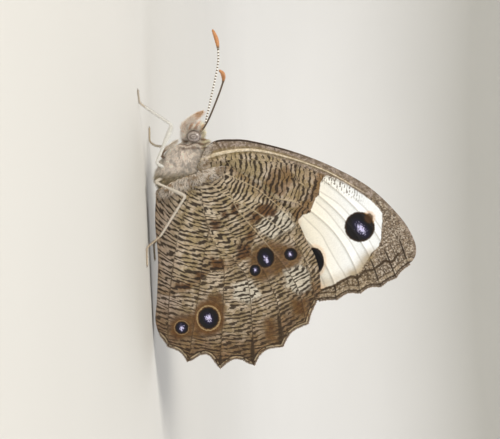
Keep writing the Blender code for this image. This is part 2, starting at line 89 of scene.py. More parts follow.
FOREWING_COSTA = [
    (-2.8, 8.5), (-3.7, 10.0), (-3.8, 12.2), (-3.5, 14.9), (-1.9, 20.4),
    (0.5, 26.0), (3.8, 31.4), (8.1, 35.5), (11.3, 37.3), (13.4, 37.5), (14.9, 36.6),
]
FOREWING_MARGIN = [
    (14.9, 36.6), (16.7, 34.6), (17.9, 32.4), (18.7, 29.5), (19.5, 26.1), (19.6, 23.5),
]
FOREWING_SCALLOPS = [0.16, 0.15, 0.42, 0.5, 0.1]
FOREWING_INNER = [(19.6, 23.5), (18.9, 22.3), (10.5, 15.6), (4.0, 10.4), (-0.2, 7.2)]
HINDWING_COSTA = [
    (0.0, 8.2), (-0.2, 10.2), (-0.2, 11.8), (1.0, 13.7), (2.8, 16.1), (5.3, 18.7),
    (7.8, 21.0), (10.7, 22.3), (13.4, 23.5), (16.4, 24.0), (18.7, 23.8), (19.5, 23.3),
]
HINDWING_MARGIN = [
    (19.5, 23.3), (22.6, 22.0), (25.7, 18.3), (28.3, 14.1),
    (28.5, 9.2), (27.4, 4.8), (25.0, 2.0), (23.2, 0.8),
]
HINDWING_SCALLOPS = [0.1, 0.7, 1.0, 1.25, 1.7, 0.45, 0.1]
HINDWING_INNER = [(23.2, 0.8), (21.0, 0.45), (18.2, 0.8), (12.6, 1.3), (7.5, 1.15), (2.8, 1.5)]
HINDWING_BASE = [(2.8, 1.5), (2.1, 2.9), (1.3, 4.7), (0.6, 6.8), (0.0, 8.2)]

# Veins from root to margin, and the folds that run between them
SUBCOSTA = [
    (-1.2, 8.1), (-1.8, 9.9), (-2.25, 13.0), (-2.05, 16.2), (-0.85, 20.4), (1.3, 25.6), (4.7, 31.0),
]
FOREWING_VEINS = [
    [(-0.7, 8.1), (-1.0, 12.4), (-0.5, 17.4), (0.3, 22.0), (1.9, 25.4), (4.0, 29.6),
     (7.4, 33.7), (14.6, 36.3)],
    [(0.2, 21.6), (3.0, 25.6), (6.9, 29.5), (11.2, 32.5), (16.4, 34.5)],
    [(2.5, 21.4), (4.6, 24.2), (8.1, 27.6), (13.0, 30.7), (17.6, 32.3)],
    [(4.8, 18.6), (5.9, 21.8), (9.7, 26.0), (14.6, 28.7), (18.3, 29.4)],
    [(4.4, 16.3), (8.5, 20.0), (12.7, 23.8), (17.0, 25.8), (19.1, 26.0)],
    [(2.4, 12.4), (8.0, 16.8), (14.0, 20.9), (19.2, 23.7)],
    [(-0.5, 7.9), (2.4, 12.4), (4.4, 16.3), (4.8, 18.6), (5.2, 21.0)],
]
FOREWING_CROSSVEIN = [(0.2, 21.6), (1.2, 21.1), (2.5, 21.4), (3.9, 21.5), (5.2, 21.2)]
FOREWING_FOLDS = [
    [(4.9, 28.9), (7.1, 31.0), (9.4, 32.6), (11.2, 33.6), (13.7, 34.7), (15.8, 35.6)],
    [(4.1, 24.5), (5.7, 26.7), (7.3, 28.2), (9.3, 29.7), (11.4, 31.1), (14.2, 32.3), (17.2, 33.6)],
    [(5.5, 23.8), (7.0, 25.3), (8.9, 26.7), (11.2, 28.3), (13.5, 29.5), (15.5, 30.4), (18.0, 31.2)],
    [(6.9, 21.4), (8.2, 22.6), (10.1, 24.3), (12.1, 25.3), (14.4, 26.5), (16.2, 27.5), (18.8, 28.2)],
    [(4.8, 16.9), (8.4, 18.6), (13.0, 22.3), (16.4, 24.2), (19.4, 24.9)],
    [(-0.2, 9.4), (1.2, 13.6), (2.2, 17.6), (3.0, 21.2)],
]
HINDWING_VEINS = [
    [(0.6, 8.2), (0.9, 11.2), (2.1, 13.7), (3.7, 16.3), (7.5, 20.1), (9.9, 21.7)],
    [(0.9, 8.0), (2.3, 9.3), (4.5, 12.2), (6.6, 15.6), (10.3, 20.1), (14.4, 22.3), (19.1, 23.1)],
    [(4.5, 12.2), (6.5, 13.1), (11.2, 16.8), (16.9, 20.5), (22.2, 21.7)],
    [(10.6, 12.9), (14.3, 15.8), (20.0, 17.9), (25.3, 18.2)],
    [(12.2, 10.9), (13.3, 12.1), (16.3, 13.8), (22.9, 14.1), (27.9, 14.1)],
    [(11.3, 9.7), (14.1, 10.5), (18.6, 10.2), (24.2, 9.7), (28.1, 9.2)],
    [(6.6, 8.2), (9.0, 8.6), (13.1, 7.6), (18.4, 6.6), (27.0, 4.9)],
    [(2.2, 6.8), (4.6, 5.9), (9.5, 4.3), (18.3, 2.6), (24.6, 2.1)],
    [(1.2, 7.8), (4.5, 8.0), (8.4, 8.5), (11.3, 9.7), (12.2, 10.9)],
]
HINDWING_CROSSVEIN = [(6.5, 13.1), (8.9, 13.1), (10.6, 12.9), (11.7, 12.3), (12.2, 10.9)]
HINDWING_FOLDS = [
    [(12.0, 19.6), (16.7, 21.6), (20.9, 22.0)],
    [(13.2, 16.8), (16.7, 18.8), (19.1, 19.7), (23.4, 20.1)],
    [(15.2, 14.9), (18.3, 15.7), (21.5, 16.4), (25.9, 16.4)],
    [(15.4, 11.9), (18.6, 11.5), (21.7, 12.1), (26.9, 12.0)],
    [(13.0, 8.9), (17.1, 8.2), (21.3, 7.7), (26.8, 7.2)],
    [(8.0, 6.4), (13.0, 5.3), (18.6, 4.5), (25.9, 3.6)],
    [(4.3, 9.4), (7.2, 10.3), (10.4, 11.6)],
]

# Markings of the under sides, as places on the wing
PALE_PATCH = [[
    (1.7, 25.2), (2.8, 24.5), (3.8, 24.3), (4.5, 24.2), (4.9, 23.7), (5.5, 23.5), (6.5, 23.0),
    (6.9, 22.9), (7.2, 21.9), (7.8, 21.2), (9.5, 20.8), (12.3, 21.6), (14.6, 22.6), (16.5, 23.4),
    (17.9, 24.0), (17.2, 25.8), (16.7, 26.7), (16.2, 27.8), (15.9, 29.1), (15.3, 29.8),
    (13.0, 31.3), (12.1, 32.3), (11.1, 32.7), (9.7, 32.8), (8.6, 33.0), (7.5, 33.0),
    (6.5, 32.4), (5.5, 31.4), (4.4, 30.0), (3.4, 28.6), (2.8, 27.7), (2.1, 26.3),
]]
FOREWING_DARK = [
    [(0.9, 17.3), (0.2, 20.1), (1.7, 20.9), (3.6, 19.9), (4.6, 18.8), (3.7, 17.4), (2.6, 16.6)],
    [(1.0, 25.0), (1.9, 25.4), (2.9, 24.8), (4.6, 24.4), (5.8, 23.6), (7.1, 22.8), (7.9, 21.3),
     (9.4, 20.9), (8.6, 19.8), (7.0, 20.3), (5.9, 21.2), (5.1, 22.3), (4.0, 23.1), (2.9, 23.5),
     (1.5, 24.1)],
]
FOREWING_LOBE = [
    [(7.2, 31.0), (7.3, 31.5), (7.8, 31.85), (8.4, 31.8), (8.9, 31.4), (8.9, 30.8), (8.4, 30.3), (7.6, 30.4)],
]
SUBMARGINAL_LINE = [
    (18.0, 23.8), (17.4, 25.8), (16.6, 27.4), (16.2, 28.4), (16.4, 29.2), (15.5, 30.2),
    (15.4, 31.2), (14.7, 32.4), (14.2, 33.1), (14.3, 34.1), (13.2, 35.0),
]
HINDWING_BASAL = [
    (-0.8, 8.2), (-0.8, 12.0), (2.4, 16.3), (4.9, 19.2), (5.4, 19.2), (6.8, 17.3), (7.3, 15.6),
    (8.4, 15.0), (9.3, 15.5), (10.4, 14.8), (12.9, 14.2), (13.4, 12.8), (14.2, 11.7),
    (14.7, 10.5), (14.3, 8.6), (15.9, 7.1), (17.2, 5.1), (17.7, 2.8), (17.1, 0.4), (2.0, 0.4),
]
HINDWING_DARK = [
    [(5.2, 15.7), (5.4, 17.3), (6.6, 18.6), (7.3, 17.8), (7.1, 16.2), (6.3, 15.3)],
    [(6.4, 14.5), (6.8, 16.2), (7.9, 15.8), (7.8, 14.6)],
    [(9.1, 14.0), (9.3, 14.9), (10.5, 14.7), (10.3, 13.8)],
    [(10.8, 12.4), (10.9, 14.2), (12.9, 14.5), (13.1, 12.5)],
    [(12.5, 8.6), (12.9, 10.6), (14.1, 10.8), (14.3, 8.8)],
    [(14.4, 6.5), (14.7, 7.7), (15.8, 7.5), (15.6, 6.3)],
    [(15.9, 3.6), (16.1, 5.7), (17.1, 5.6), (16.9, 3.6)],
    [(4.9, 11.9), (5.2, 13.0), (6.9, 12.8), (6.6, 11.7)],
    [(6.0, 10.5), (6.5, 11.8), (7.3, 11.5), (7.0, 10.4)],
    [(7.2, 9.0), (7.5, 10.3), (8.9, 10.1), (8.6, 8.8)],
]
HINDWING_PALE = [
    [(6.1, 19.1), (6.9, 20.1), (8.7, 21.0), (9.5, 20.0), (10.2, 18.5), (10.5, 17.1), (9.3, 15.5),
     (8.4, 15.0), (7.3, 16.1), (6.8, 17.3), (6.3, 18.0)],
    [(14.6, 18.6), (13.9, 21.4), (14.8, 22.6), (17.4, 23.0), (18.6, 21.0), (17.2, 18.9)],
    [(16.4, 11.6), (15.8, 14.2), (18.2, 16.0), (19.6, 13.6), (18.6, 11.4)],
]
HINDWING_WARM = [
    [(19.0, 6.7), (17.8, 8.3), (17.6, 10.0), (19.3, 10.5), (21.6, 10.3), (23.3, 9.4), (23.6, 7.5),
     (23.9, 5.1), (24.0, 3.0), (22.7, 2.3), (20.8, 3.1), (20.4, 4.7), (20.3, 6.1)],
    [(13.4, 13.9), (11.6, 14.8), (10.8, 16.0), (10.6, 17.4), (11.0, 19.2), (11.9, 21.1), (12.9, 21.5),
     (14.0, 21.0), (14.8, 20.0), (15.6, 17.7), (16.4, 15.8), (15.8, 14.4)],
    [(19.0, 19.6), (19.0, 22.0), (21.4, 22.0), (21.6, 19.9)],
    [(21.4, 15.7), (21.6, 17.4), (24.9, 17.6), (24.8, 15.9)],
]
TOOTH_WEDGES = [
    ((21.0, 17.8), (25.9, 18.3)), ((24.2, 14.0), (28.4, 14.1)), ((26.4, 9.5), (28.6, 9.2)),
]

# Lines on the wings' roots that hair spreads from
FOREWING_ROOT = [(-3.1, 8.8), (-1.6, 8.1), (-0.3, 7.8)]
HINDWING_ROOT = [(-0.1, 9.3), (0.1, 8.0), (0.7, 6.3), (1.4, 4.6), (2.2, 2.6)]

# Eyespots: centre, radii aft and up, pupil's centre, its half-length and half-width,
# its turn in degrees, and how bright a ring goes round the spot
FOREWING_SPOTS = [
    ((9.25, 29.75), (2.03, 2.03), (9.5, 29.95), (0.78, 0.42), 38, 0.0),
    ((13.75, 23.2), (1.8, 1.3), (13.7, 22.3), (0.4, 0.3), 0, 0.3),
]
HINDWING_SPOTS = [
    ((12.6, 19.95), (0.86, 0.9), (12.6, 19.9), (0.27, 0.24), 30, 0.1),
    ((12.9, 16.4), (1.4, 1.2), (13.15, 16.5), (0.5, 0.26), 20, 0.1),
    ((14.65, 14.85), (0.8, 0.75), (14.6, 14.9), (0.24, 0.2), 0, 0.1),
    ((21.15, 8.0), (1.5, 1.4), (21.2, 8.0), (0.46, 0.36), 20, 0.9),
    ((22.35, 4.15), (0.86, 0.9), (22.35, 4.15), (0.34, 0.3), 0, 0.5),
]


# Small tools

def node(tree, kind, inputs=None, **settings):
    """Add a node with its settings. An input is a value, a node, or a (node, output) pair."""
    item = tree.nodes.new(kind)
    for name, value in settings.items():
        setattr(item, name, value)
    for key, value in (inputs or {}).items():
        if isinstance(key, str):
            socket = [end for end in item.inputs if end.name == key and end.enabled][0]
        else:
            socket = item.inputs[key]
        if isinstance(value, bpy.types.Node):
            tree.links.new([end for end in value.outputs if end.enabled][0], socket)
        elif isinstance(value, tuple) and isinstance(value[0], bpy.types.Node):
            tree.links.new(value[0].outputs[value[1]], socket)
        else:
            socket.default_value = value
    return item


def linear(code):
    """An sRGB hex colour as linear red, green, blue and alpha."""
    channels = [int(code[place:place + 2], 16) / 255 for place in (1, 3, 5)]
    tones = [tone / 12.92 if tone <= 0.04045 else ((tone + 0.055) / 1.055) ** 2.4 for tone in channels]
    return (*tones, 1.0)


def new_material(name):
    """A material with its node tree, shader node and output, ready to be given a finish."""
    material = bpy.data.materials.new(name)
    material.use_nodes = True
    tree = material.node_tree
    return material, tree, tree.nodes["Principled BSDF"]


def smoothstep(low, high, value):
    share = np.clip((value - low) / (high - low), 0.0, 1.0)
    return share * share * (3.0 - 2.0 * share)


def curve(points, steps):
    """A smooth line through the points, with the same number of steps in each span."""
    nodes = np.array(points, float)
    padded = np.vstack([2 * nodes[0] - nodes[1], nodes, 2 * nodes[-1] - nodes[-2]])
    line = [nodes[0]]
    for index in range(1, len(padded) - 2):
        before, start, end, after = padded[index - 1:index + 3]
        for step in range(1, steps + 1):
            share = step / steps
            pull = (end - before) * share
            pull = pull + (2 * before - 5 * start + 4 * end - after) * share ** 2
            pull = pull + (3 * start - before - 3 * end + after) * share ** 3
            line.append(start + pull / 2)
    return np.array(line)


def distances(line):
    """How far along a line each of its points lies."""
    return np.concatenate([[0.0], np.cumsum(np.linalg.norm(np.diff(line, axis=0), axis=1))])


def evenly(line, step):
    """A line resampled at an even step."""
    lengths = distances(line)
    count = max(1, round(lengths[-1] / step))
    places = np.linspace(0.0, lengths[-1], count + 1)
    return np.column_stack([np.interp(places, lengths, line[:, axis]) for axis in range(line.shape[1])])


def scalloped(ends, depths, step):
    """An outer margin: a shallow arc bowed inwards between one vein end and the next."""
    line = []
    for start, end, depth in zip(np.array(ends), np.array(ends[1:]), depths):
        run = end - start
        inward = np.array((run[1], -run[0])) / np.linalg.norm(run)
        count = max(2, round(np.linalg.norm(run) / step))
        for index in range(count):
            share = index / count
            line.append(start + run * share + inward * depth * math.sin(math.pi * share) ** 1.2)
    return np.array(line)


def nearest(points, line):
    """Each flat point's distance to a line, the side of it that it is on, and the place along it."""
    best = np.full(len(points), 1e9)
    side = np.zeros(len(points))
    place = np.zeros(len(points))
    travelled = 0.0
    for start, end in zip(line, line[1:]):
        run = end - start
        length = math.hypot(*run)
        if length < 1e-9:
            continue
        away = points - start
        share = np.clip(away @ run / length ** 2, 0.0, 1.0)
        gap = np.hypot(away[:, 0] - share * run[0], away[:, 1] - share * run[1])
        closer = gap < best
        best = np.where(closer, gap, best)
        side = np.where(closer, np.sign(run[0] * away[:, 1] - run[1] * away[:, 0]), side)
        place = np.where(closer, travelled + share * length, place)
        travelled += length
    return best, side, place


def within(points, outline):
    """Which flat points lie inside a closed outline."""
    crossings = np.zeros(len(points), bool)
    for start, end in zip(outline, np.roll(outline, -1, axis=0)):
        if start[1] == end[1]:
            continue
        spans = (start[1] > points[:, 1]) != (end[1] > points[:, 1])
        meets = start[0] + (points[:, 1] - start[1]) * (end[0] - start[0]) / (end[1] - start[1])
        crossings ^= spans & (points[:, 0] < meets)
    return crossings


def depth_inside(points, *outlines):
    """How deep each point lies inside the nearest of some outlines, negative where it is outside."""
    deepest = np.full(len(points), -1e9)
    for outline in outlines:
        ring = np.array(outline, float)
        gap = nearest(points, np.vstack([ring, ring[:1]]))[0]
        deepest = np.maximum(deepest, np.where(within(points, ring), gap, -gap))
    return deepest


def eye_shift():
    """The step from these millimetres to the frame's, found from the left eye's place."""
    low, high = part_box("eye_left")
    middle = (low + high) / 2 / MM
    return middle - Vector((EYE_CENTRE.x, -EYE_CENTRE.y, EYE_CENTRE.z))


SHIFT = np.array(eye_shift())


def put(name, data):
    """A new object in the scene."""
    item = bpy.data.objects.new(name, data)
    bpy.context.scene.collection.objects.link(item)
    return item


def add_piece(name, points, faces, materials, face_materials=None):
    """A mesh object from points in millimetres, at the frame's origin."""
    mesh = bpy.data.meshes.new(name)
    mesh.from_pydata(((np.asarray(points) + SHIFT) * MM).tolist(), [], faces)
    for material in materials:
        mesh.materials.append(material)
    if face_materials is not None:
        mesh.polygons.foreach_set("material_index", face_materials)
    mesh.shade_smooth()
    mesh.update()
    return put(name, mesh)


def keep_values(mesh, name, values):
    """Store one number or one vector for each point of a mesh."""
    values = np.asarray(values, np.float32)
    kind, slot = ("FLOAT", "value") if values.ndim == 1 else ("FLOAT_VECTOR", "vector")
    layer = mesh.attributes.get(name) or mesh.attributes.new(name, kind, "POINT")
    layer.data.foreach_set(slot, values.ravel())


def show(piece, slot, *nodes):
    """Fix a finished piece to the body, in place of the solids that it stands for."""
    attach(piece, "root")
    if nodes:
        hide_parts(*nodes)
    return piece


# Wings

def forewing_offset(places):
    reach = np.linalg.norm(places - HINGE, axis=1)
    return FOREWING_REST + FOREWING_ROOT_SPREAD * np.exp(-(reach / FOREWING_ROOT_REACH) ** 2)


def hindwing_offset(places):
    """The hind wing lies over the forewing and swells outwards round the body."""
    aft, up = places[:, 0], places[:, 1]
    bulge = HINDWING_BULGE_AT_THORAX
    bulge = bulge + (HINDWING_BULGE_AT_ABDOMEN - HINDWING_BULGE_AT_THORAX) * smoothstep(*BULGE_GROWS_AFT, aft)
    bulge = bulge * (1.0 - smoothstep(*BULGE_ENDS_AFT, aft))
    axis_height = BODY_AXIS_HEIGHT - BODY_AXIS_FALL * np.maximum(0.0, aft - BODY_AXIS_START)
    bulge = bulge * (1.0 - smoothstep(*BULGE_ENDS_ABOVE_AXIS, up - axis_height))
    return forewing_offset(places) + HINDWING_STEP + bulge


def wing_edges(costa, margin, scallops, *others):
    """A wing's outline at a fine step, and how many of its points are the leading edge and margin."""
    lead = evenly(curve(costa, EDGE_STEPS), MEMBRANE_GRID)[:-1]
    outer = scalloped(margin, scallops, MEMBRANE_GRID)
    rest = [evenly(curve(edge, EDGE_STEPS), MEMBRANE_GRID)[:-1] for edge in others]
    ring = np.vstack([lead, outer, *rest])
    gaps = np.linalg.norm(ring - np.roll(ring, 1, axis=0), axis=1)
    return ring[gaps > 0.03], lead, outer


def drawn_in(ring, distance):
    """A closed outline moved inwards by a distance at each of its points, and its outward directions."""
    run = np.roll(ring, -2, axis=0) - np.roll(ring, 2, axis=0)
    out = np.column_stack([run[:, 1], -run[:, 0]])
    out /= np.linalg.norm(out, axis=1)[:, None]
    probe = within(ring + out * 0.05, ring)
    out[probe] *= -1.0
    return ring - out * distance[:, None], out


def membrane_net(ring):
    """A fine even net of triangles inside a closed outline."""
    low, high = ring.min(axis=0), ring.max(axis=0)
    rows = np.arange(low[1], high[1], MEMBRANE_GRID * 0.87)
    columns = np.arange(low[0], high[0], MEMBRANE_GRID)
    spots = np.array([
        (column + MEMBRANE_GRID * 0.5 * (index % 2), row)
        for index, row in enumerate(rows) for column in columns
    ])
    spots = spots[within(spots, ring)]
    clear = nearest(spots, np.vstack([ring, ring[:1]]))[0] > MEMBRANE_GRID * 0.45
    spots = np.vstack([ring, spots[clear]])
    flat = [Vector(spot) for spot in spots]
    net = delaunay_2d_cdt(flat, [], [list(range(len(ring)))], 1, 0.001)
    return np.array([tuple(spot) for spot in net[0]]), [tuple(face) for face in net[2]]


def spot_fields(places, spots):
    """Nearness to the eyespots, to their pupils, and how bright the nearest one's ring is."""
    field = np.full(len(places), FAR)
    pupil = np.full(len(places), FAR)
    ring = np.zeros(len(places))
    for centre, radii, eye, reach, turn, glow in spots:
        away = (places - centre) / radii
        far = np.linalg.norm(away, axis=1)
        ring = np.where(far < field, glow, ring)
        field = np.minimum(field, far)
        turned = math.radians(turn)
        offset = places - eye
        long = offset[:, 0] * math.cos(turned) + offset[:, 1] * math.sin(turned)
        wide = offset[:, 1] * math.cos(turned) - offset[:, 0] * math.sin(turned)
        pupil = np.minimum(pupil, np.hypot(long / reach[0], wide / reach[1]))
    return field, pupil, ring


def wing_fields(places, plan):
    """Every field that the wing's relief and markings are drawn from."""
    veins = [curve(vein, LINE_STEPS) for vein in plan["veins"]]
    vein_gap = np.full(len(places), FAR)
    code = np.zeros(len(places))
    for index, vein in enumerate(veins):
        gap, side, _ = nearest(places, vein)
        vein_gap = np.minimum(vein_gap, gap)
        code += (side > 0) * (index + 1) * 1.37
    cross_gap = nearest(places, curve(plan["crossvein"], LINE_STEPS))[0]
    fold_gap = np.min([nearest(places, curve(fold, LINE_STEPS))[0] for fold in plan["folds"]], axis=0)
    rim_gap = nearest(places, plan["margin"])[0]
    lead_gap = nearest(places, plan["lead"])[0]
    away = places - plan["centre"]
    reach = np.linalg.norm(away, axis=1)
    turn = np.arctan2(away[:, 0], away[:, 1])
    spot, pupil, ring = spot_fields(places, plan["spots"])
    line = curve(plan["line"], LINE_STEPS) if "line" in plan else None
    wedges = np.full(len(places), FAR)
    for start, end in plan.get("wedges", []):
        gap, _, along = nearest(places, np.array([start, end], float))
        span = math.dist(start, end)
        wedges = np.minimum(wedges, gap / (0.12 + 0.5 * np.clip(along / span, 0.0, 1.0)))
    swollen = np.full(len(places), FAR)
    if "swollen" in plan:
        gap, _, along = nearest(places, curve(plan["swollen"], LINE_STEPS))
        swollen = gap / (0.26 - 0.17 * smoothstep(0.0, 18.0, along))
    return {
        "lay": np.column_stack([reach, turn * reach, np.modf(code * 0.618)[0]]),
        "lines": np.column_stack([vein_gap, fold_gap, cross_gap]),
        "edges": np.column_stack([rim_gap, lead_gap, swollen]),
        "areas": np.column_stack([
            depth_inside(places, *plan["pale"]),
            depth_inside(places, *plan["dark"]),
            depth_inside(places, *plan["warm"]) if "warm" in plan else np.full(len(places), -FAR),
        ]),
        "zones": np.column_stack([
            depth_inside(places, plan["basal"]) if "basal" in plan else np.full(len(places), -FAR),
            nearest(places, line)[0] if line is not None else np.full(len(places), FAR),
            wedges,
        ]),
        "spots": np.column_stack([spot, pupil, ring]),
        "place": np.column_stack([places, np.zeros(len(places))]),
    }


def wing_relief(places, fields, plan):
    """How far out the membrane's middle lies, and how high its veins stand."""
    vein, fold, cross = fields["lines"].T
    swollen = fields["edges"][:, 2]
    rise = VEIN_RISE * np.exp(-(vein / VEIN_WIDTH) ** 2)
    rise = np.maximum(rise, 0.6 * VEIN_RISE * np.exp(-(cross / VEIN_WIDTH) ** 2))
    rise = np.maximum(rise, 2.0 * VEIN_RISE * np.exp(-swollen ** 2))
    pleat = PLEAT_DEPTH * (0.4 - vein / (vein + fold + 0.05))
    pleat *= smoothstep(0.1, 1.2, vein + fold)
    return plan["offset"](places) + pleat, rise


def make_wing(name, side, plan, materials, fringe_material):
    """A thin pleated membrane with raised veins and a fringe; its outer face is the wing's under side."""
    ring, lead, margin = wing_edges(*plan["outline"])
    plan = {**plan, "lead": lead, "margin": margin}
    on_margin = smoothstep(0.7, 0.0, nearest(ring, margin)[0])
    edge, outward = drawn_in(ring, EDGE_INSET + (FRINGE - EDGE_INSET) * on_margin)
    places, faces = membrane_net(edge)
    fields = wing_fields(places, plan)
    middle, rise = wing_relief(places, fields, plan)
    outer = np.column_stack([places[:, 0], side * (middle + MEMBRANE_HALF + rise), places[:, 1]])
    inner = np.column_stack([places[:, 0], side * (middle - MEMBRANE_HALF - 0.4 * rise), places[:, 1]])
    count = len(places)
    border = {}
    for face in faces:
        for start, end in zip(face, face[1:] + face[:1]):
            if (end, start) in border:
                del border[(end, start)]
            else:
                border[(start, end)] = True
    top = [face if side < 0 else face[::-1] for face in faces]
    bottom = [tuple(index + count for index in face[::-1]) for face in top]
    wall = []
    for start, end in border:
        band = (end, start, start + count, end + count)
        wall.append(band if side < 0 else band[::-1])
    numbers = [0] * len(top) + [1] * len(bottom) + [0] * len(wall)
    piece = add_piece(name + "_membrane", np.vstack([outer, inner]), top + bottom + wall, materials, numbers)
    mesh = piece.data
    for field, values in fields.items():
        keep_values(mesh, field, np.vstack([values, values]))
    low = places.min(axis=0)
    span = (places.max(axis=0) - low).max() * 1.04
    layer = mesh.uv_layers.new(name="OFBake")
    corners = np.empty(len(mesh.loops), np.int64)
    mesh.loops.foreach_get("vertex_index", corners)
    spread = (np.vstack([places, places]) - low) / span + 0.02
    spread[:, 0] *= 0.5
    spread[count:, 0] += 0.5
    layer.data.foreach_set("uv", spread[corners].astype(np.float32).ravel())
    keep_values(mesh, "skin", np.column_stack([spread, np.zeros(len(spread))]))
    show(piece, "wing_scales", name)

    chosen = np.nonzero(nearest(ring, margin)[0] < 0.02)[0]
    line = evenly(edge[chosen], FRINGE_STEP)
    shares = np.linspace(0, 1, len(line))
    course = np.column_stack([
        np.interp(shares, np.linspace(0, 1, len(chosen)), outward[chosen][:, axis]) for axis in (0, 1)
    ])
    stand = wing_relief(line, wing_fields(line, plan), plan)[0]
    roots = np.column_stack([line[:, 0], side * stand, line[:, 1]])
    rim = bpy.data.meshes.new(name + "_rim")
    rim.from_pydata(((roots + SHIFT) * MM).tolist(), [], [])
    full = np.ones(len(line))
    dress(rim, np.column_stack([course[:, 0], 0.0 * shares, course[:, 1]]), full, full)
    keep_values(rim, "facing", np.tile((0.0, float(side), 0.0), (len(line), 1)))
    rooted = (line - low) / span + 0.02
    keep_values(rim, "skin", np.column_stack([rooted[:, 0] * 0.5, rooted[:, 1], np.zeros(len(line))]))
    fringe = grow(name + "_fringe", rim, SCALE, fringe_material, 0.3, 0.13, spread=0.12, on_faces=False)
    show(fringe, "wing_scales")
    return piece


def root_hair(name, wing, edge, reach, material):
    """Hair that spreads from the body over a wing's root and thins out away from it."""
    mesh = wing.data
    spots, normals = points_of(mesh)
    gap = nearest(spots[:, [0, 2]], np.array(edge, float))[0]
    rooted = np.empty(len(mesh.vertices) * 3)
    mesh.attributes["skin"].data.foreach_get("vector", rooted)
    chosen = [tuple(face.vertices) for face in mesh.polygons if face.material_index == 0]
    chosen = [face for face in chosen if len(face) == 3 and max(gap[index] for index in face) < reach]
    kept = sorted({index for face in chosen for index in face})
    number = {index: place for place, index in enumerate(kept)}
    carrier = bpy.data.meshes.new(name + "_carrier")
    faces = [tuple(number[index] for index in face) for face in chosen]
    carrier.from_pydata(((spots[kept] + SHIFT) * MM).tolist(), [], faces)
    away = spots[kept] - np.array((-1.4, 0.0, 6.0))
    away[:, 1] = 0.0
    away /= np.linalg.norm(away, axis=1)[:, None]
    thinned = smoothstep(reach, 0.25 * reach, gap[kept])
    dress(carrier, away + normals[kept] * 0.3, 0.4 + 0.6 * thinned, thinned)
    keep_values(carrier, "skin", rooted.reshape(-1, 3)[kept])
    hair = grow(name, carrier, HAIR, material, 0.7, 0.075, spacing=0.08, spread=0.55)
    return show(hair, "wing_scales")


FOREWING_PLAN = {
    "outline": (FOREWING_COSTA, FOREWING_MARGIN, FOREWING_SCALLOPS, FOREWING_INNER),
    "veins": FOREWING_VEINS, "crossvein": FOREWING_CROSSVEIN, "folds": FOREWING_FOLDS,
    "swollen": SUBCOSTA, "offset": forewing_offset, "centre": np.array((-1.0, 6.5)),
    "pale": PALE_PATCH, "dark": FOREWING_DARK, "warm": FOREWING_LOBE, "line": SUBMARGINAL_LINE,
    "spots": FOREWING_SPOTS,
}
HINDWING_PLAN = {
    "outline": (HINDWING_COSTA, HINDWING_MARGIN, HINDWING_SCALLOPS, HINDWING_INNER, HINDWING_BASE),
    "veins": HINDWING_VEINS, "crossvein": HINDWING_CROSSVEIN, "folds": HINDWING_FOLDS,
    "offset": hindwing_offset, "centre": np.array((-0.6, 8.6)),
    "pale": HINDWING_PALE, "dark": HINDWING_DARK, "warm": HINDWING_WARM, "basal": HINDWING_BASAL,
    "wedges": TOOTH_WEDGES, "spots": HINDWING_SPOTS,
}


# Finishes of the wings

def field(tree, name, part=None):
    """One of the numbers that a wing or a lock keeps at each of its points."""
    stored = node(tree, "ShaderNodeAttribute", attribute_name=name)
    if part is None:
        return (stored, "Fac")
    return (node(tree, "ShaderNodeSeparateXYZ", {"Vector": (stored, "Vector")}), part)


def step_between(tree, value, start, end):
    """Nought at the start and one at the end, eased between them; start may be the larger."""
    return node(tree, "ShaderNodeMapRange", {
        "Value": value, "From Min": start, "From Max": end, "To Min": 0.0, "To Max": 1.0,
    }, interpolation_type="SMOOTHSTEP")


def blend(tree, share, base, over, way="MIX"):
    """One colour laid over another by a share; either is a node or a hex colour."""
    base, over = [linear(tone) if isinstance(tone, str) else tone for tone in (base, over)]
    return node(tree, "ShaderNodeMix", {0: share, 6: base, 7: over}, data_type="RGBA", blend_type=way)


def surface(tree, shader, colour, roughness, height=None, strength=0.0, depth=0.0):
    """Give a shader its colour and roughness, and a bump of a depth in millimetres."""
    tree.links.new(colour.outputs[2], shader.inputs["Base Color"])
    shader.inputs["Roughness"].default_value = roughness
    if height is not None:
        bump = node(tree, "ShaderNodeBump", {"Height": height, "Strength": strength, "Distance": depth * MM})
        tree.links.new(bump.outputs[0], shader.inputs["Normal"])


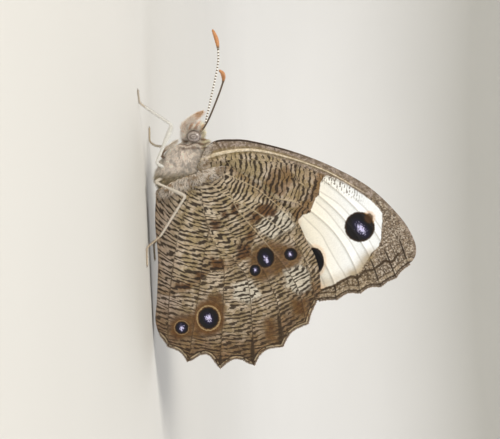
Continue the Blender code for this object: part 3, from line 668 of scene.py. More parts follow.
def strokes(tree, spacing, width, broken):
    """Wavy strokes in arcs round the wing's root, broken along their length and at the veins."""
    reach = field(tree, "lay", 0)
    bend = field(tree, "lay", 1)
    cell = field(tree, "lay", 2)
    drifts = node(tree, "ShaderNodeVectorMath", {
        0: (node(tree, "ShaderNodeAttribute", attribute_name="lay"), "Vector"), 1: (0.3, 0.3, 9.0),
    }, operation="MULTIPLY")
    drift = node(tree, "ShaderNodeTexNoise", {"Vector": drifts, "Scale": 1.0, "Detail": 1.0})
    wiggles = node(tree, "ShaderNodeVectorMath", {
        0: (node(tree, "ShaderNodeAttribute", attribute_name="lay"), "Vector"), 1: (0.7, 1.15, 5.0),
    }, operation="MULTIPLY")
    wiggle = node(tree, "ShaderNodeTexNoise", {
        "Vector": wiggles, "Scale": 1.0, "Detail": 2.0, "Roughness": 0.6,
    })
    swayed = node(tree, "ShaderNodeMath", {0: drift, 1: 2.6, 2: cell}, operation="MULTIPLY_ADD")
    shaken = node(tree, "ShaderNodeMath", {0: wiggle, 1: 1.25, 2: swayed}, operation="MULTIPLY_ADD")
    phase = node(tree, "ShaderNodeMath", {0: reach, 1: 1.0 / spacing, 2: shaken}, operation="MULTIPLY_ADD")
    number = node(tree, "ShaderNodeMath", {0: phase}, operation="FLOOR")
    inside = node(tree, "ShaderNodeMath", {0: phase}, operation="FRACT")
    middle = node(tree, "ShaderNodeMath", {0: inside, 1: 0.5}, operation="SUBTRACT")
    gap = node(tree, "ShaderNodeMath", {0: middle}, operation="ABSOLUTE")
    along = node(tree, "ShaderNodeMath", {0: bend, 1: 0.62}, operation="MULTIPLY")
    shifted = node(tree, "ShaderNodeMath", {0: number, 1: 5.17, 2: along}, operation="MULTIPLY_ADD")
    own = node(tree, "ShaderNodeCombineXYZ", {"X": shifted, "Y": number, "Z": cell})
    run = node(tree, "ShaderNodeTexNoise", {"Vector": own, "Scale": 1.0, "Detail": 2.0, "Roughness": 0.65})
    kept = node(tree, "ShaderNodeMapRange", {
        "Value": run, "From Min": broken, "From Max": broken + 0.3,
        "To Min": 0.0, "To Max": 1.45 * width / spacing,
    })
    ratio = node(tree, "ShaderNodeMath", {0: gap, 1: kept}, operation="SUBTRACT")
    return step_between(tree, ratio, 0.08, -0.05)


def scale_grain(tree, dark, light):
    """Rows of scales 0.11 by 0.17 mm, a little wider than real ones, each in its own shade."""
    reach = field(tree, "lay", 0)
    bend = field(tree, "lay", 1)
    across = node(tree, "ShaderNodeMath", {0: bend, 1: 9.0}, operation="MULTIPLY")
    along = node(tree, "ShaderNodeMath", {0: reach, 1: 6.0}, operation="MULTIPLY")
    spot = node(tree, "ShaderNodeCombineXYZ", {"X": across, "Y": along})
    cells = node(tree, "ShaderNodeTexVoronoi", {"Vector": spot, "Scale": 1.0}, voronoi_dimensions="2D")
    shade = node(tree, "ShaderNodeSeparateColor", {"Color": (cells, "Color")})
    tone = node(tree, "ShaderNodeMapRange", {"Value": (shade, 0), "To Min": dark, "To Max": light})
    return tone, (cells, "Distance")


def lay_scales(tree, shader, colour, height):
    """Finish a wing with a soft scaly surface of the given colour."""
    surface(tree, shader, colour, 0.72, height, 0.45, 0.04)
    shader.inputs["Specular IOR Level"].default_value = 0.25
    shader.inputs["Sheen Weight"].default_value = 0.12
    shader.inputs["Sheen Roughness"].default_value = 0.5


def eyespots(tree, colour, halo_colour, halo_width, raggedness):
    """Black spots with a brown rim, a pale ring and a bluish white pupil, laid over a colour."""
    at = node(tree, "ShaderNodeTexCoord")
    ragged = node(tree, "ShaderNodeTexNoise", {"Vector": (at, "Object"), "Scale": 3600.0, "Detail": 3.0})
    rough = node(tree, "ShaderNodeMath", {
        0: ragged, 1: raggedness, 2: -raggedness / 2,
    }, operation="MULTIPLY_ADD")
    spot = node(tree, "ShaderNodeMath", {0: field(tree, "spots", 0), 1: rough}, operation="ADD")
    ring = field(tree, "spots", 2)
    haloed = times(tree, step_between(tree, spot, halo_width, 1.2), ring, 0.85)
    colour = blend(tree, haloed, colour, halo_colour)
    band = times(tree, step_between(tree, spot, 1.27, 1.17), step_between(tree, spot, 1.05, 1.12), ring, 0.62)
    colour = blend(tree, band, colour, "#b8a074")
    rim = step_between(tree, spot, 1.1, 1.0)
    colour = blend(tree, rim, colour, "#35220f")
    black = step_between(tree, spot, 1.02, 0.88)
    colour = blend(tree, black, colour, "#0e0b0c")
    sheen = step_between(tree, field(tree, "spots", 1), 2.6, 0.8)
    tinted = node(tree, "ShaderNodeMath", {0: sheen, 1: 0.55}, operation="MULTIPLY")
    colour = blend(tree, tinted, colour, "#1f1a44")
    flecks = node(tree, "ShaderNodeTexNoise", {
        "Vector": (at, "Object"), "Scale": 5200.0, "Detail": 2.5, "Roughness": 0.7,
    })
    shaken = node(tree, "ShaderNodeMath", {0: flecks, 1: 4.4, 2: -2.2}, operation="MULTIPLY_ADD")
    pupil = node(tree, "ShaderNodeMath", {0: field(tree, "spots", 1), 1: shaken}, operation="ADD")
    bright = step_between(tree, pupil, 1.15, 0.4)
    return blend(tree, bright, colour, "#cfcbee")


def line_mask(tree, gap, width, soft):
    """One on a line, falling to nought just beyond its half-width."""
    return step_between(tree, gap, width + soft, width)


def times(tree, *values):
    """Several shares multiplied together."""
    product = values[0]
    for value in values[1:]:
        product = node(tree, "ShaderNodeMath", {0: product, 1: value}, operation="MULTIPLY")
    return product


def ragged_edge(tree, value, reach, size):
    """A distance made uneven, so that what is cut from it has a ragged edge."""
    at = node(tree, "ShaderNodeTexCoord")
    noise = node(tree, "ShaderNodeTexNoise", {
        "Vector": (at, "Object"), "Scale": 1.0 / (size * MM), "Detail": 3.0,
    })
    shaken = node(tree, "ShaderNodeMath", {0: noise, 1: 2.0 * reach, 2: -reach}, operation="MULTIPLY_ADD")
    return node(tree, "ShaderNodeMath", {0: value, 1: shaken}, operation="ADD")


def ridge_line(tree, value, place, width, soft=0.06):
    """One where a distance is close to a given place, for lines that run along an edge."""
    away = node(tree, "ShaderNodeMath", {0: value, 1: place}, operation="SUBTRACT")
    gap = node(tree, "ShaderNodeMath", {0: away}, operation="ABSOLUTE")
    return line_mask(tree, gap, width, soft)


def mottled(tree, size, *colours):
    """Colours that run into one another in soft patches of a size in millimetres."""
    at = node(tree, "ShaderNodeTexCoord")
    colour = colours[0]
    for index, other in enumerate(colours[1:]):
        step = (0.013 * (index + 1),) * 3
        shifted = node(tree, "ShaderNodeVectorMath", {0: (at, "Object"), 1: step}, operation="ADD")
        clouds = node(tree, "ShaderNodeTexNoise", {
            "Vector": shifted, "Scale": 1.0 / (size * MM), "Detail": 3.0, "Roughness": 0.6,
        })
        colour = blend(tree, step_between(tree, clouds, 0.42, 0.6), colour, other)
    return colour


def forewing_under():
    """Under side of the forewing: fine matt scales, striated tan, with a cream patch and eyespots."""
    material, tree, shader = new_material("forewing_underside_scales")
    at = node(tree, "ShaderNodeTexCoord")
    grain, height = scale_grain(tree, 0.74, 1.2)
    reach = field(tree, "lay", 0)
    vein, fold, cross = field(tree, "lines", 0), field(tree, "lines", 1), field(tree, "lines", 2)
    rim, lead, swollen = field(tree, "edges", 0), field(tree, "edges", 1), field(tree, "edges", 2)
    aft, place = field(tree, "place", 0), field(tree, "place", 1)

    colour = mottled(tree, 1.6, "#a5947a", "#b5a795", "#958564")
    near_patch = step_between(tree, place, 17.0, 22.0)
    colour = blend(tree, times(tree, near_patch, 0.3), colour, "#7c5f3a")
    dark = step_between(tree, ragged_edge(tree, field(tree, "areas", 1), 0.5, 0.6), -0.25, 0.3)
    colour = blend(tree, times(tree, dark, 0.64), colour, "#6c4a20")
    outer = step_between(tree, rim, 4.2, 3.2)
    brown = mottled(tree, 0.3, "#7f6d54", "#b0a28c", "#564735")
    colour = blend(tree, outer, colour, brown)

    bars = strokes(tree, 0.7, 0.13, 0.3)
    inner = step_between(tree, rim, 3.4, 4.4)
    colour = blend(tree, times(tree, bars, inner, 0.93), colour, "#2c2116")
    light_lines = times(tree, line_mask(tree, vein, 0.035, 0.06), step_between(tree, lead, 2.9, 3.4))
    near_root = step_between(tree, reach, 17.5, 15.0)
    colour = blend(tree, times(tree, light_lines, near_root, 0.7), colour, "#c4b28f")
    cell_end = line_mask(tree, cross, 0.05, 0.07)
    colour = blend(tree, times(tree, cell_end, 0.7), colour, "#3f3019")

    tip = step_between(tree, place, 30.5, 32.6)
    apex = times(tree, tip, step_between(tree, field(tree, "areas", 0), 0.1, -0.1))
    colour = blend(tree, apex, colour, mottled(tree, 0.26, "#82725e", "#b9ae9e", "#5c4e40"))
    flank = node(tree, "ShaderNodeMath", {0: tip, 1: 1.1, 2: lead}, operation="MULTIPLY_ADD")
    band = step_between(tree, flank, 1.7, 1.25)
    costal = mottled(tree, 0.42, "#87796a", "#a3958b", "#6d5f50")
    colour = blend(tree, times(tree, band, 0.92), colour, costal)
    dashes = times(tree, bars, step_between(tree, reach, 9.0, 4.0), band)
    colour = blend(tree, times(tree, dashes, 0.6), colour, "#5f4c38")
    # Painted shadow: a darker band beside the raised subcosta near the root, the shade under its ridge
    shade = times(tree, step_between(tree, swollen, 3.4, 1.6), step_between(tree, reach, 26.0, 18.0))
    colour = blend(tree, times(tree, shade, 0.6), colour, mottled(tree, 0.4, "#6d5d3a", "#84744e"))

    pale = ragged_edge(tree, field(tree, "areas", 0), 0.14, 0.4)
    inside = step_between(tree, pale, -0.05, 0.12)
    warm = step_between(tree, place, 30.0, 22.0)
    cream = blend(tree, warm, "#ecefef", "#e8e2d0")
    smoke = step_between(tree, ragged_edge(tree, rim, 0.3, 0.6), 3.9, 2.4)
    cream = blend(tree, times(tree, smoke, 0.45), cream, "#ab9877")
    outer_side = times(tree, step_between(tree, aft, 11.6, 13.6), step_between(tree, place, 27.0, 28.6))
    near_edge = step_between(tree, ragged_edge(tree, field(tree, "areas", 0), 0.4, 0.7), 2.0, 0.0)
    haze = times(tree, outer_side, near_edge)
    cream = blend(tree, times(tree, haze, 0.85), cream, "#a3906e")
    # Painted shade: soft grey lines along the veins and folds across the cream patch, the shading of its
    # pleats
    cream = blend(tree, times(tree, line_mask(tree, vein, 0.02, 0.16), 0.5), cream, "#867d6d")
    cream = blend(tree, times(tree, line_mask(tree, fold, 0.01, 0.16), 0.36), cream, "#867d6d")
    dust = node(tree, "ShaderNodeTexNoise", {"Vector": (at, "Object"), "Scale": 2600.0, "Detail": 1.0})
    dashes = strokes(tree, 0.36, 0.09, 0.32)
    specks = times(tree, dashes, step_between(tree, dust, 0.44, 0.54), step_between(tree, lead, 2.9, 2.3))
    inner_end = step_between(tree, place, 31.5, 28.0)
    cream = blend(tree, times(tree, specks, inner_end, 0.8), cream, "#5d5041")
    inner_side = times(tree, step_between(tree, aft, 7.2, 9.2), step_between(tree, place, 25.2, 24.0))
    edge = times(tree, step_between(tree, pale, 0.7, 0.0), inner_side)
    cream = blend(tree, times(tree, edge, 0.55), cream, "#e6b684")
    colour = blend(tree, inside, colour, cream)

    colour = eyespots(tree, colour, "#e2a763", 1.45, 0.12)
    lobe = ragged_edge(tree, field(tree, "areas", 2), 0.14, 0.3)
    clear = step_between(tree, field(tree, "spots", 0), 0.92, 1.04)
    colour = blend(tree, times(tree, step_between(tree, lobe, -0.3, 0.0), clear, 0.5), colour, "#d3a264")
    colour = blend(tree, times(tree, step_between(tree, lobe, -0.02, 0.3), 0.9), colour, "#3f2810")

    beyond = step_between(tree, pale, 0.1, -0.1)
    near_rim = step_between(tree, rim, 4.4, 3.4)
    vein_ends = times(tree, line_mask(tree, vein, 0.07, 0.08), beyond, near_rim)
    colour = blend(tree, times(tree, vein_ends, 0.92), colour, "#2f2418")
    fold_ends = times(tree, line_mask(tree, fold, 0.03, 0.09), beyond, near_rim)
    colour = blend(tree, times(tree, fold_ends, 0.75), colour, "#3b2f22")
    zigzag = line_mask(tree, ragged_edge(tree, field(tree, "zones", 1), 0.12, 0.4), 0.11, 0.12)
    colour = blend(tree, times(tree, zigzag, 0.9), colour, "#392a18")

    ridge = times(tree, step_between(tree, swollen, 1.15, 0.6), step_between(tree, reach, 27.0, 20.0))
    colour = blend(tree, ridge, colour, mottled(tree, 0.5, "#c4b498", "#d6c9b1"))
    # Painted shadow: a thin dark line just inside the leading edge near the root, the shade in the gap
    # between the two forewings' leading edges
    costa_gap_shadow = ridge_line(tree, lead, 0.12, 0.08)
    root_side = step_between(tree, reach, 19.0, 12.0)
    colour = blend(tree, times(tree, costa_gap_shadow, root_side), colour, "#2e231b")
    worn = node(tree, "ShaderNodeTexNoise", {"Vector": (at, "Object"), "Scale": 1500.0, "Detail": 2.0})
    unbroken = step_between(tree, worn, 0.36, 0.52)
    colour = blend(tree, times(tree, ridge_line(tree, rim, 1.15, 0.05), unbroken, 0.75), colour, "#443522")
    pale_rim = times(tree, ridge_line(tree, rim, 0.8, 0.14, 0.1), unbroken, 0.35)
    colour = blend(tree, pale_rim, colour, "#b7a689")
    colour = blend(tree, times(tree, ridge_line(tree, rim, 0.42, 0.07), 0.9), colour, "#3a2c1e")

    smooth = node(tree, "ShaderNodeMath", {0: 1.0, 1: times(tree, inside, 0.8)}, operation="SUBTRACT")
    grainy = blend(tree, 1.0, colour, grain, "MULTIPLY")
    colour = blend(tree, smooth, colour, grainy)
    lay_scales(tree, shader, colour, height)
    return material


def hindwing_under():
    """Under side of the hind wing: fine matt scales, striated brown, with a row of eyespots."""
    material, tree, shader = new_material("hindwing_underside_scales")
    grain, height = scale_grain(tree, 0.72, 1.22)
    reach = field(tree, "lay", 0)
    vein, fold, cross = field(tree, "lines", 0), field(tree, "lines", 1), field(tree, "lines", 2)
    rim = field(tree, "edges", 0)
    aft, height_on_wing = field(tree, "place", 0), field(tree, "place", 1)

    basal = step_between(tree, ragged_edge(tree, field(tree, "zones", 0), 0.5, 0.7), -0.15, 0.15)
    inner_ground = mottled(tree, 1.7, "#a6957b", "#baac96", "#938261")
    outer_ground = mottled(tree, 1.5, "#9c8b72", "#b3a48f", "#88775a")
    colour = blend(tree, basal, outer_ground, inner_ground)
    anal = step_between(tree, height_on_wing, 5.5, 2.5)
    colour = blend(tree, times(tree, anal, 0.55), colour, "#938278")
    near_edge = step_between(tree, field(tree, "zones", 0), 2.6, 0.1)
    colour = blend(tree, times(tree, near_edge, basal, 0.65), colour, "#6c502a")
    margin = step_between(tree, ragged_edge(tree, rim, 1.4, 1.6), 5.0, 1.6)
    marginal = mottled(tree, 1.1, "#6e5030", "#7c6646", "#5b4227")
    colour = blend(tree, times(tree, margin, 0.8), colour, marginal)
    warm = step_between(tree, ragged_edge(tree, field(tree, "areas", 2), 0.55, 0.9), -0.5, 0.6)
    colour = blend(tree, times(tree, warm, 0.85), colour, mottled(tree, 0.8, "#61431b", "#513212"))

    pale = step_between(tree, ragged_edge(tree, field(tree, "areas", 0), 0.6, 0.7), -0.1, 0.5)
    colour = blend(tree, times(tree, pale, 0.66), colour, "#cac4b4")
    dark = step_between(tree, ragged_edge(tree, field(tree, "areas", 1), 0.6, 0.6), -0.25, 0.35)
    colour = blend(tree, times(tree, dark, 0.9), colour, mottled(tree, 0.6, "#4b2e13", "#5e3d1c"))

    coarse = node(tree, "ShaderNodeMath", {0: basal, 1: pale}, operation="MAXIMUM")
    outside = node(tree, "ShaderNodeMath", {0: 1.0, 1: coarse}, operation="SUBTRACT")
    inner_bars = strokes(tree, 0.62, 0.13, 0.3)
    colour = blend(tree, times(tree, inner_bars, coarse, 0.95), colour, "#281d12")
    outer_bars = strokes(tree, 0.56, 0.12, 0.31)
    thinner = node(tree, "ShaderNodeMath", {0: 0.92, 1: times(tree, warm, 0.65)}, operation="SUBTRACT")
    colour = blend(tree, times(tree, outer_bars, outside, thinner), colour, "#2f2214")

    above = node(tree, "ShaderNodeMath", {0: height_on_wing, 1: aft}, operation="SUBTRACT")
    upper = step_between(tree, above, 4.0, 5.5)
    lower = step_between(tree, above, 5.0, 3.5)
    thin_lines = line_mask(tree, vein, 0.03, 0.06)
    worn = times(tree, upper, step_between(tree, ragged_edge(tree, reach, 3.0, 2.0), 17.0, 13.5))
    colour = blend(tree, times(tree, thin_lines, worn, 0.6), colour, "#c2b291")
    distal = step_between(tree, reach, 13.0, 16.0)
    colour = blend(tree, times(tree, thin_lines, distal, 0.62), colour, "#3a2b1a")
    colour = blend(tree, times(tree, thin_lines, lower, 0.5), colour, "#43321f")
    cell_end = line_mask(tree, cross, 0.05, 0.07)
    colour = blend(tree, times(tree, cell_end, 0.5), colour, "#4a3a22")
    near_rim = step_between(tree, rim, 6.5, 4.5)
    dark_folds = line_mask(tree, fold, 0.02, 0.06)
    colour = blend(tree, times(tree, dark_folds, near_rim, 0.4), colour, "#3f2f1f")
    hinge = times(tree, ridge_line(tree, reach, 1.35, 0.07), step_between(tree, height_on_wing, 6.9, 7.5))
    colour = blend(tree, times(tree, hinge, 0.8), colour, "#cfcac4")

    wedge = step_between(tree, ragged_edge(tree, field(tree, "zones", 2), 0.5, 0.5), 1.35, 0.6)
    colour = blend(tree, times(tree, wedge, 0.85), colour, "#352717")
    colour = eyespots(tree, colour, "#5b3a15", 1.9, 0.24)

    colour = blend(tree, times(tree, ridge_line(tree, rim, 0.56, 0.045, 0.07), 0.85), colour, "#36281a")
    patchy = step_between(tree, mottled(tree, 0.8, "#3a3a3a", "#e0e0e0"), 0.05, 0.3)
    pale_rim = times(tree, ridge_line(tree, rim, 0.36, 0.05, 0.08), patchy, 0.6)
    colour = blend(tree, pale_rim, colour, "#b7a687")

    colour = blend(tree, 1.0, colour, grain, "MULTIPLY")
    lay_scales(tree, shader, colour, height)
    return material


def wing_upper(name, patch_share):
    """Upper side of a wing: plain soft brown scales with dark eyespots."""
    material, tree, shader = new_material(name)
    at = node(tree, "ShaderNodeTexCoord")
    clouds = node(tree, "ShaderNodeTexNoise", {"Vector": (at, "Object"), "Scale": 300.0, "Detail": 3.0})
    colour = blend(tree, step_between(tree, clouds, 0.38, 0.62), "#58442f", "#6d5740")
    grain, height = scale_grain(tree, 0.8, 1.12)
    patch = step_between(tree, ragged_edge(tree, field(tree, "areas", 0), 0.25, 0.6), -0.3, 0.3)
    colour = blend(tree, times(tree, patch, patch_share), colour, "#d8b877")
    spot = step_between(tree, field(tree, "spots", 0), 0.9, 0.7)
    colour = blend(tree, spot, colour, "#17110e")
    pupil = step_between(tree, field(tree, "spots", 1), 0.8, 0.5)
    colour = blend(tree, pupil, colour, "#b9b6cf")
    colour = blend(tree, line_mask(tree, field(tree, "edges", 0), 0.4, 0.1), colour, "#3a2c1f")
    colour = blend(tree, 1.0, colour, grain, "MULTIPLY")
    lay_scales(tree, shader, colour, height)
    return material


# Locks of hair, scales and spines

def lock_shape(name, bands, flatness, curl, bulge):
    """One closed tapered lock, a unit long and a unit wide at its fullest, that curls towards -X."""
    points, faces, along = [], [], []
    for index in range(bands):
        share = index / bands
        width = 0.5 * (math.sin(math.pi * (0.5 - bulge + (0.5 + bulge) * share)) if bulge else 1.0 - share)
        for corner in range(3):
            angle = 2 * math.pi * corner / 3
            out = flatness * width * math.cos(angle) - curl * share ** 2
            points.append((out, width * math.sin(angle), share))
            along.append(share)
    points.append((-curl, 0.0, 1.0))
    along.append(1.0)
    faces.append((2, 1, 0))
    for index in range(bands - 1):
        for corner in range(3):
            here, there = index * 3 + corner, index * 3 + (corner + 1) % 3
            faces.append((here, there, there + 3, here + 3))
    last = (bands - 1) * 3
    for corner in range(3):
        faces.append((last + corner, last + (corner + 1) % 3, len(points) - 1))
    mesh = bpy.data.meshes.new(name)
    mesh.from_pydata(points, [], faces)
    mesh.shade_smooth()
    keep_values(mesh, "along", along)
    keep_values(mesh, "patch", [(share, 0.5 + 0.5 * point[1], 0.0) for share, point in zip(along, points)])
    return bpy.data.objects.new(name, mesh)


def lock_tree(name, on_faces):
    """Geometry Nodes that set locks on a skin's faces, or on the points of a rim."""
    tree = bpy.data.node_groups.new(name, "GeometryNodeTree")
    tree.interface.new_socket("Geometry", in_out="OUTPUT", socket_type="NodeSocketGeometry")
    sockets = [
        ("Geometry", "NodeSocketGeometry"), ("Lock", "NodeSocketObject"), ("Finish", "NodeSocketMaterial"),
        ("Spacing", "NodeSocketFloat"), ("Length", "NodeSocketFloat"), ("Width", "NodeSocketFloat"),
        ("Spread", "NodeSocketFloat"), ("Patch", "NodeSocketFloat"), ("Seed", "NodeSocketInt"),
    ]
    for label, kind in sockets:
        tree.interface.new_socket(label, in_out="INPUT", socket_type=kind)
    given = node(tree, "NodeGroupInput")
    growth = node(tree, "GeometryNodeInputNamedAttribute", {"Name": "growth"}, data_type="FLOAT")
    if on_faces:
        cover = node(tree, "GeometryNodeInputNamedAttribute", {"Name": "cover"}, data_type="FLOAT")
        area = node(tree, "ShaderNodeMath", {0: (given, "Spacing"), 1: 2.0}, operation="POWER")
        most = node(tree, "ShaderNodeMath", {0: 2.0, 1: area}, operation="DIVIDE")
        roots = node(tree, "GeometryNodeDistributePointsOnFaces", {
            "Mesh": (given, "Geometry"), "Distance Min": (given, "Spacing"), "Density Max": most,
            "Density Factor": cover, "Seed": (given, "Seed"),
        }, distribute_method="POISSON")
        facing = (roots, "Normal")
    else:
        roots = node(tree, "GeometryNodeMeshToPoints", {"Mesh": (given, "Geometry")})
        facing = node(tree, "GeometryNodeInputNamedAttribute", {"Name": "facing"}, data_type="FLOAT_VECTOR")
    rooted = node(tree, "GeometryNodeInputNamedAttribute", {"Name": "skin"}, data_type="FLOAT_VECTOR")
    kept = node(tree, "GeometryNodeStoreNamedAttribute", {
        "Geometry": roots, "Name": "root", "Value": rooted,
    }, data_type="FLOAT_VECTOR", domain="POINT")
    chance = node(tree, "FunctionNodeRandomValue", {
        "Min": 0.0, "Max": 1.0, "Seed": (given, "Seed"),
    }, data_type="FLOAT")
    toned = node(tree, "GeometryNodeStoreNamedAttribute", {
        "Geometry": kept, "Name": "tone", "Value": chance,
    }, data_type="FLOAT", domain="POINT")
    lie = node(tree, "GeometryNodeInputNamedAttribute", {"Name": "lie"}, data_type="FLOAT_VECTOR")
    other = node(tree, "ShaderNodeMath", {0: (given, "Seed"), 1: 17.0}, operation="ADD")
    stray = node(tree, "FunctionNodeRandomValue", {
        "Min": (-1.0, -1.0, -1.0), "Max": (1.0, 1.0, 1.0), "Seed": other,
    }, data_type="FLOAT_VECTOR")
    strayed = node(tree, "ShaderNodeVectorMath", {0: stray, "Scale": (given, "Spread")}, operation="SCALE")
    course = node(tree, "ShaderNodeVectorMath", {0: lie, 1: strayed}, operation="ADD")
    stood = node(tree, "FunctionNodeAlignRotationToVector", {"Vector": course}, axis="Z")
    turned = node(tree, "FunctionNodeAlignRotationToVector", {
        "Rotation": stood, "Vector": facing,
    }, axis="X", pivot_axis="Z")
    third = node(tree, "ShaderNodeMath", {0: (given, "Seed"), 1: 31.0}, operation="ADD")
    size = node(tree, "FunctionNodeRandomValue", {"Min": 0.72, "Max": 1.12, "Seed": third}, data_type="FLOAT")
    grown = node(tree, "ShaderNodeMath", {0: growth, 1: size}, operation="MULTIPLY")
    length = node(tree, "ShaderNodeMath", {0: grown, 1: (given, "Length")}, operation="MULTIPLY")
    girth = node(tree, "GeometryNodeInputNamedAttribute", {"Name": "girth"}, data_type="FLOAT")
    stout = node(tree, "ShaderNodeMath", {0: size, 1: girth}, operation="MULTIPLY")
    width = node(tree, "ShaderNodeMath", {0: stout, 1: (given, "Width")}, operation="MULTIPLY")
    scale = node(tree, "ShaderNodeCombineXYZ", {"X": width, "Y": width, "Z": length})
    lock = node(tree, "GeometryNodeObjectInfo", {"Object": (given, "Lock")})
    set_out = node(tree, "GeometryNodeInstanceOnPoints", {
        "Points": toned, "Instance": (lock, "Geometry"), "Rotation": turned, "Scale": scale,
    })
    solid = node(tree, "GeometryNodeRealizeInstances", {"Geometry": set_out})
    root = node(tree, "GeometryNodeInputNamedAttribute", {"Name": "root"}, data_type="FLOAT_VECTOR")
    patch = node(tree, "GeometryNodeInputNamedAttribute", {"Name": "patch"}, data_type="FLOAT_VECTOR")
    small = node(tree, "ShaderNodeVectorMath", {0: patch, "Scale": (given, "Patch")}, operation="SCALE")
    baked = node(tree, "ShaderNodeVectorMath", {0: root, 1: small}, operation="ADD")
    mapped = node(tree, "GeometryNodeStoreNamedAttribute", {
        "Geometry": solid, "Name": "OFBake", "Value": baked,
    }, data_type="FLOAT2", domain="CORNER")
    finished = node(tree, "GeometryNodeSetMaterial", {"Geometry": mapped, "Material": (given, "Finish")})
    node(tree, "NodeGroupOutput", {"Geometry": finished})
    return tree


LOCK_TREES = {True: lock_tree("locks_on_a_skin", True), False: lock_tree("locks_on_a_rim", False)}
PATCH_SIZE = 0.003


def grow(name, carrier, lock, finish, length, width, spacing=1.0, spread=0.15, seed=SEED, on_faces=True):
    """Set locks over a mesh and return them as one plain mesh object. Sizes are in millimetres."""
    tree = LOCK_TREES[on_faces]
    bearer = put(name + "_bearer", carrier)
    modifier = bearer.modifiers.new(name, "NODES")
    modifier.node_group = tree
    inputs = {
        "Lock": lock, "Finish": finish, "Spacing": spacing * MM, "Length": length * MM,
        "Width": width * MM, "Spread": spread, "Patch": PATCH_SIZE, "Seed": seed,
    }
    for item in tree.interface.items_tree:
        if item.item_type == "SOCKET" and item.in_out == "INPUT" and item.name in inputs:
            modifier[item.identifier] = inputs[item.name]
    bpy.context.view_layer.update()
    shaped = bearer.evaluated_get(bpy.context.evaluated_depsgraph_get())
    mesh = bpy.data.meshes.new_from_object(shaped)
    mesh.name = name
    bearer.modifiers.clear()
    bpy.data.objects.remove(bearer, do_unlink=True)
    return put(name, mesh)


HAIR = lock_shape("hair", 3, 0.6, 0.12, 0.0)
TUFT = lock_shape("tuft", 4, 0.45, 0.2, 0.22)
SCALE = lock_shape("scale", 2, 0.25, 0.05, 0.3)
SPINE = lock_shape("spine", 2, 1.0, -0.08, 0.0)


# Skins

def ring_frames(line):
    """Two directions across a line at each of its points, without twist."""
    along = np.gradient(line, axis=0)
    along /= np.linalg.norm(along, axis=1)[:, None]
    across = np.cross(along[0], (0.0, 0.0, 1.0))
    if np.linalg.norm(across) < 1e-3:
        across = np.array((0.0, 1.0, 0.0))
    firsts = []
    for direction in along:
        across = across - direction * np.dot(across, direction)
        across = across / np.linalg.norm(across)
        firsts.append(across)
    firsts = np.array(firsts)
    return along, firsts, np.cross(along, firsts)


def closed_rings(count, sides):
    """Faces between rings of points, with a point to close each end, turned outwards."""
    faces = []
    first, last = count * sides, count * sides + 1
    for side in range(sides):
        turn = (side + 1) % sides
        faces.append((first, turn, side))
        faces.append((last, (count - 1) * sides + side, (count - 1) * sides + turn))
        for ring in range(count - 1):
            here, there = ring * sides, (ring + 1) * sides
            faces.append((here + side, here + turn, there + turn, there + side))
    return faces


def unwrap(mesh, shares, sides):
    """A UV map round and along a skin of rings, kept as OFBake and as the value that locks root by."""
    count = len(shares)
    around = np.tile((np.arange(sides) + 0.5) / sides * 0.96 + 0.01, count)
    along = np.repeat(np.asarray(shares) * 0.94 + 0.02, sides)
    flat = np.column_stack([around, along])
    flat = np.vstack([flat, (0.5, 0.005), (0.5, 0.985)])
    keep_values(mesh, "skin", np.column_stack([flat, np.zeros(len(flat))]))
    layer = mesh.uv_layers.new(name="OFBake")
    for face in mesh.polygons:
        spots = flat[list(face.vertices)]
        if spots[:, 0].max() - spots[:, 0].min() > 0.6:
            spots[spots[:, 0] < 0.4, 0] += 0.98
            spots[:, 0] = np.minimum(spots[:, 0], 0.995)
        for corner, spot in zip(face.loop_indices, spots):
            layer.data[corner].uv = spot


def skin_over(name, rings, ends, material, shares):
    """A closed skin over rings of points, with its unwrap."""
    count, sides = rings.shape[:2]
    points = np.vstack([rings.reshape(-1, 3), ends])
    faces = closed_rings(count, sides)
    piece = add_piece(name, points, faces, [material])
    work = bmesh.new()
    work.from_mesh(piece.data)
    bmesh.ops.recalc_face_normals(work, faces=work.faces[:])
    work.to_mesh(piece.data)
    work.free()
    unwrap(piece.data, shares, sides)
    return piece


def tube_rings(line, radii, sides):
    along, first, second = ring_frames(line)
    angles = 2 * math.pi * (np.arange(sides) + 0.5) / sides
    spokes = first[:, None] * np.cos(angles)[None, :, None] + second[:, None] * np.sin(angles)[None, :, None]
    return line[:, None] + spokes * np.asarray(radii)[:, None, None], spokes, along


def make_tube(name, line, radii, sides, material):
    """A round closed tube along a line; it keeps how far along it each point lies."""
    rings, spokes, along = tube_rings(line, radii, sides)
    ends = np.array([line[0] - along[0] * radii[0] * 0.6, line[-1] + along[-1] * radii[-1] * 0.8])
    travelled = distances(line)
    piece = skin_over(name, rings, ends, material, travelled / travelled[-1])
    keep_values(piece.data, "travel", np.concatenate([np.repeat(travelled, sides), [0.0, travelled[-1]]]))
    return piece, travelled, spokes, along


def dress(mesh, lie, growth, cover, girth=None):
    """Say which way a skin's locks lie, how long and stout they grow and how closely they stand."""
    lie = np.asarray(lie, float)
    keep_values(mesh, "lie", lie / np.maximum(np.linalg.norm(lie, axis=1), 1e-6)[:, None])
    keep_values(mesh, "growth", growth)
    keep_values(mesh, "cover", cover)
    keep_values(mesh, "girth", np.ones(len(lie)) if girth is None else girth)


def points_of(mesh):
    """A mesh's points in millimetres, and their outward directions."""
    count = len(mesh.vertices)
    places = np.empty(count * 3)
    mesh.vertices.foreach_get("co", places)
    normals = np.empty(count * 3)
    mesh.vertex_normals.foreach_get("vector", normals)
    return places.reshape(-1, 3) / MM - SHIFT, normals.reshape(-1, 3)


# Body

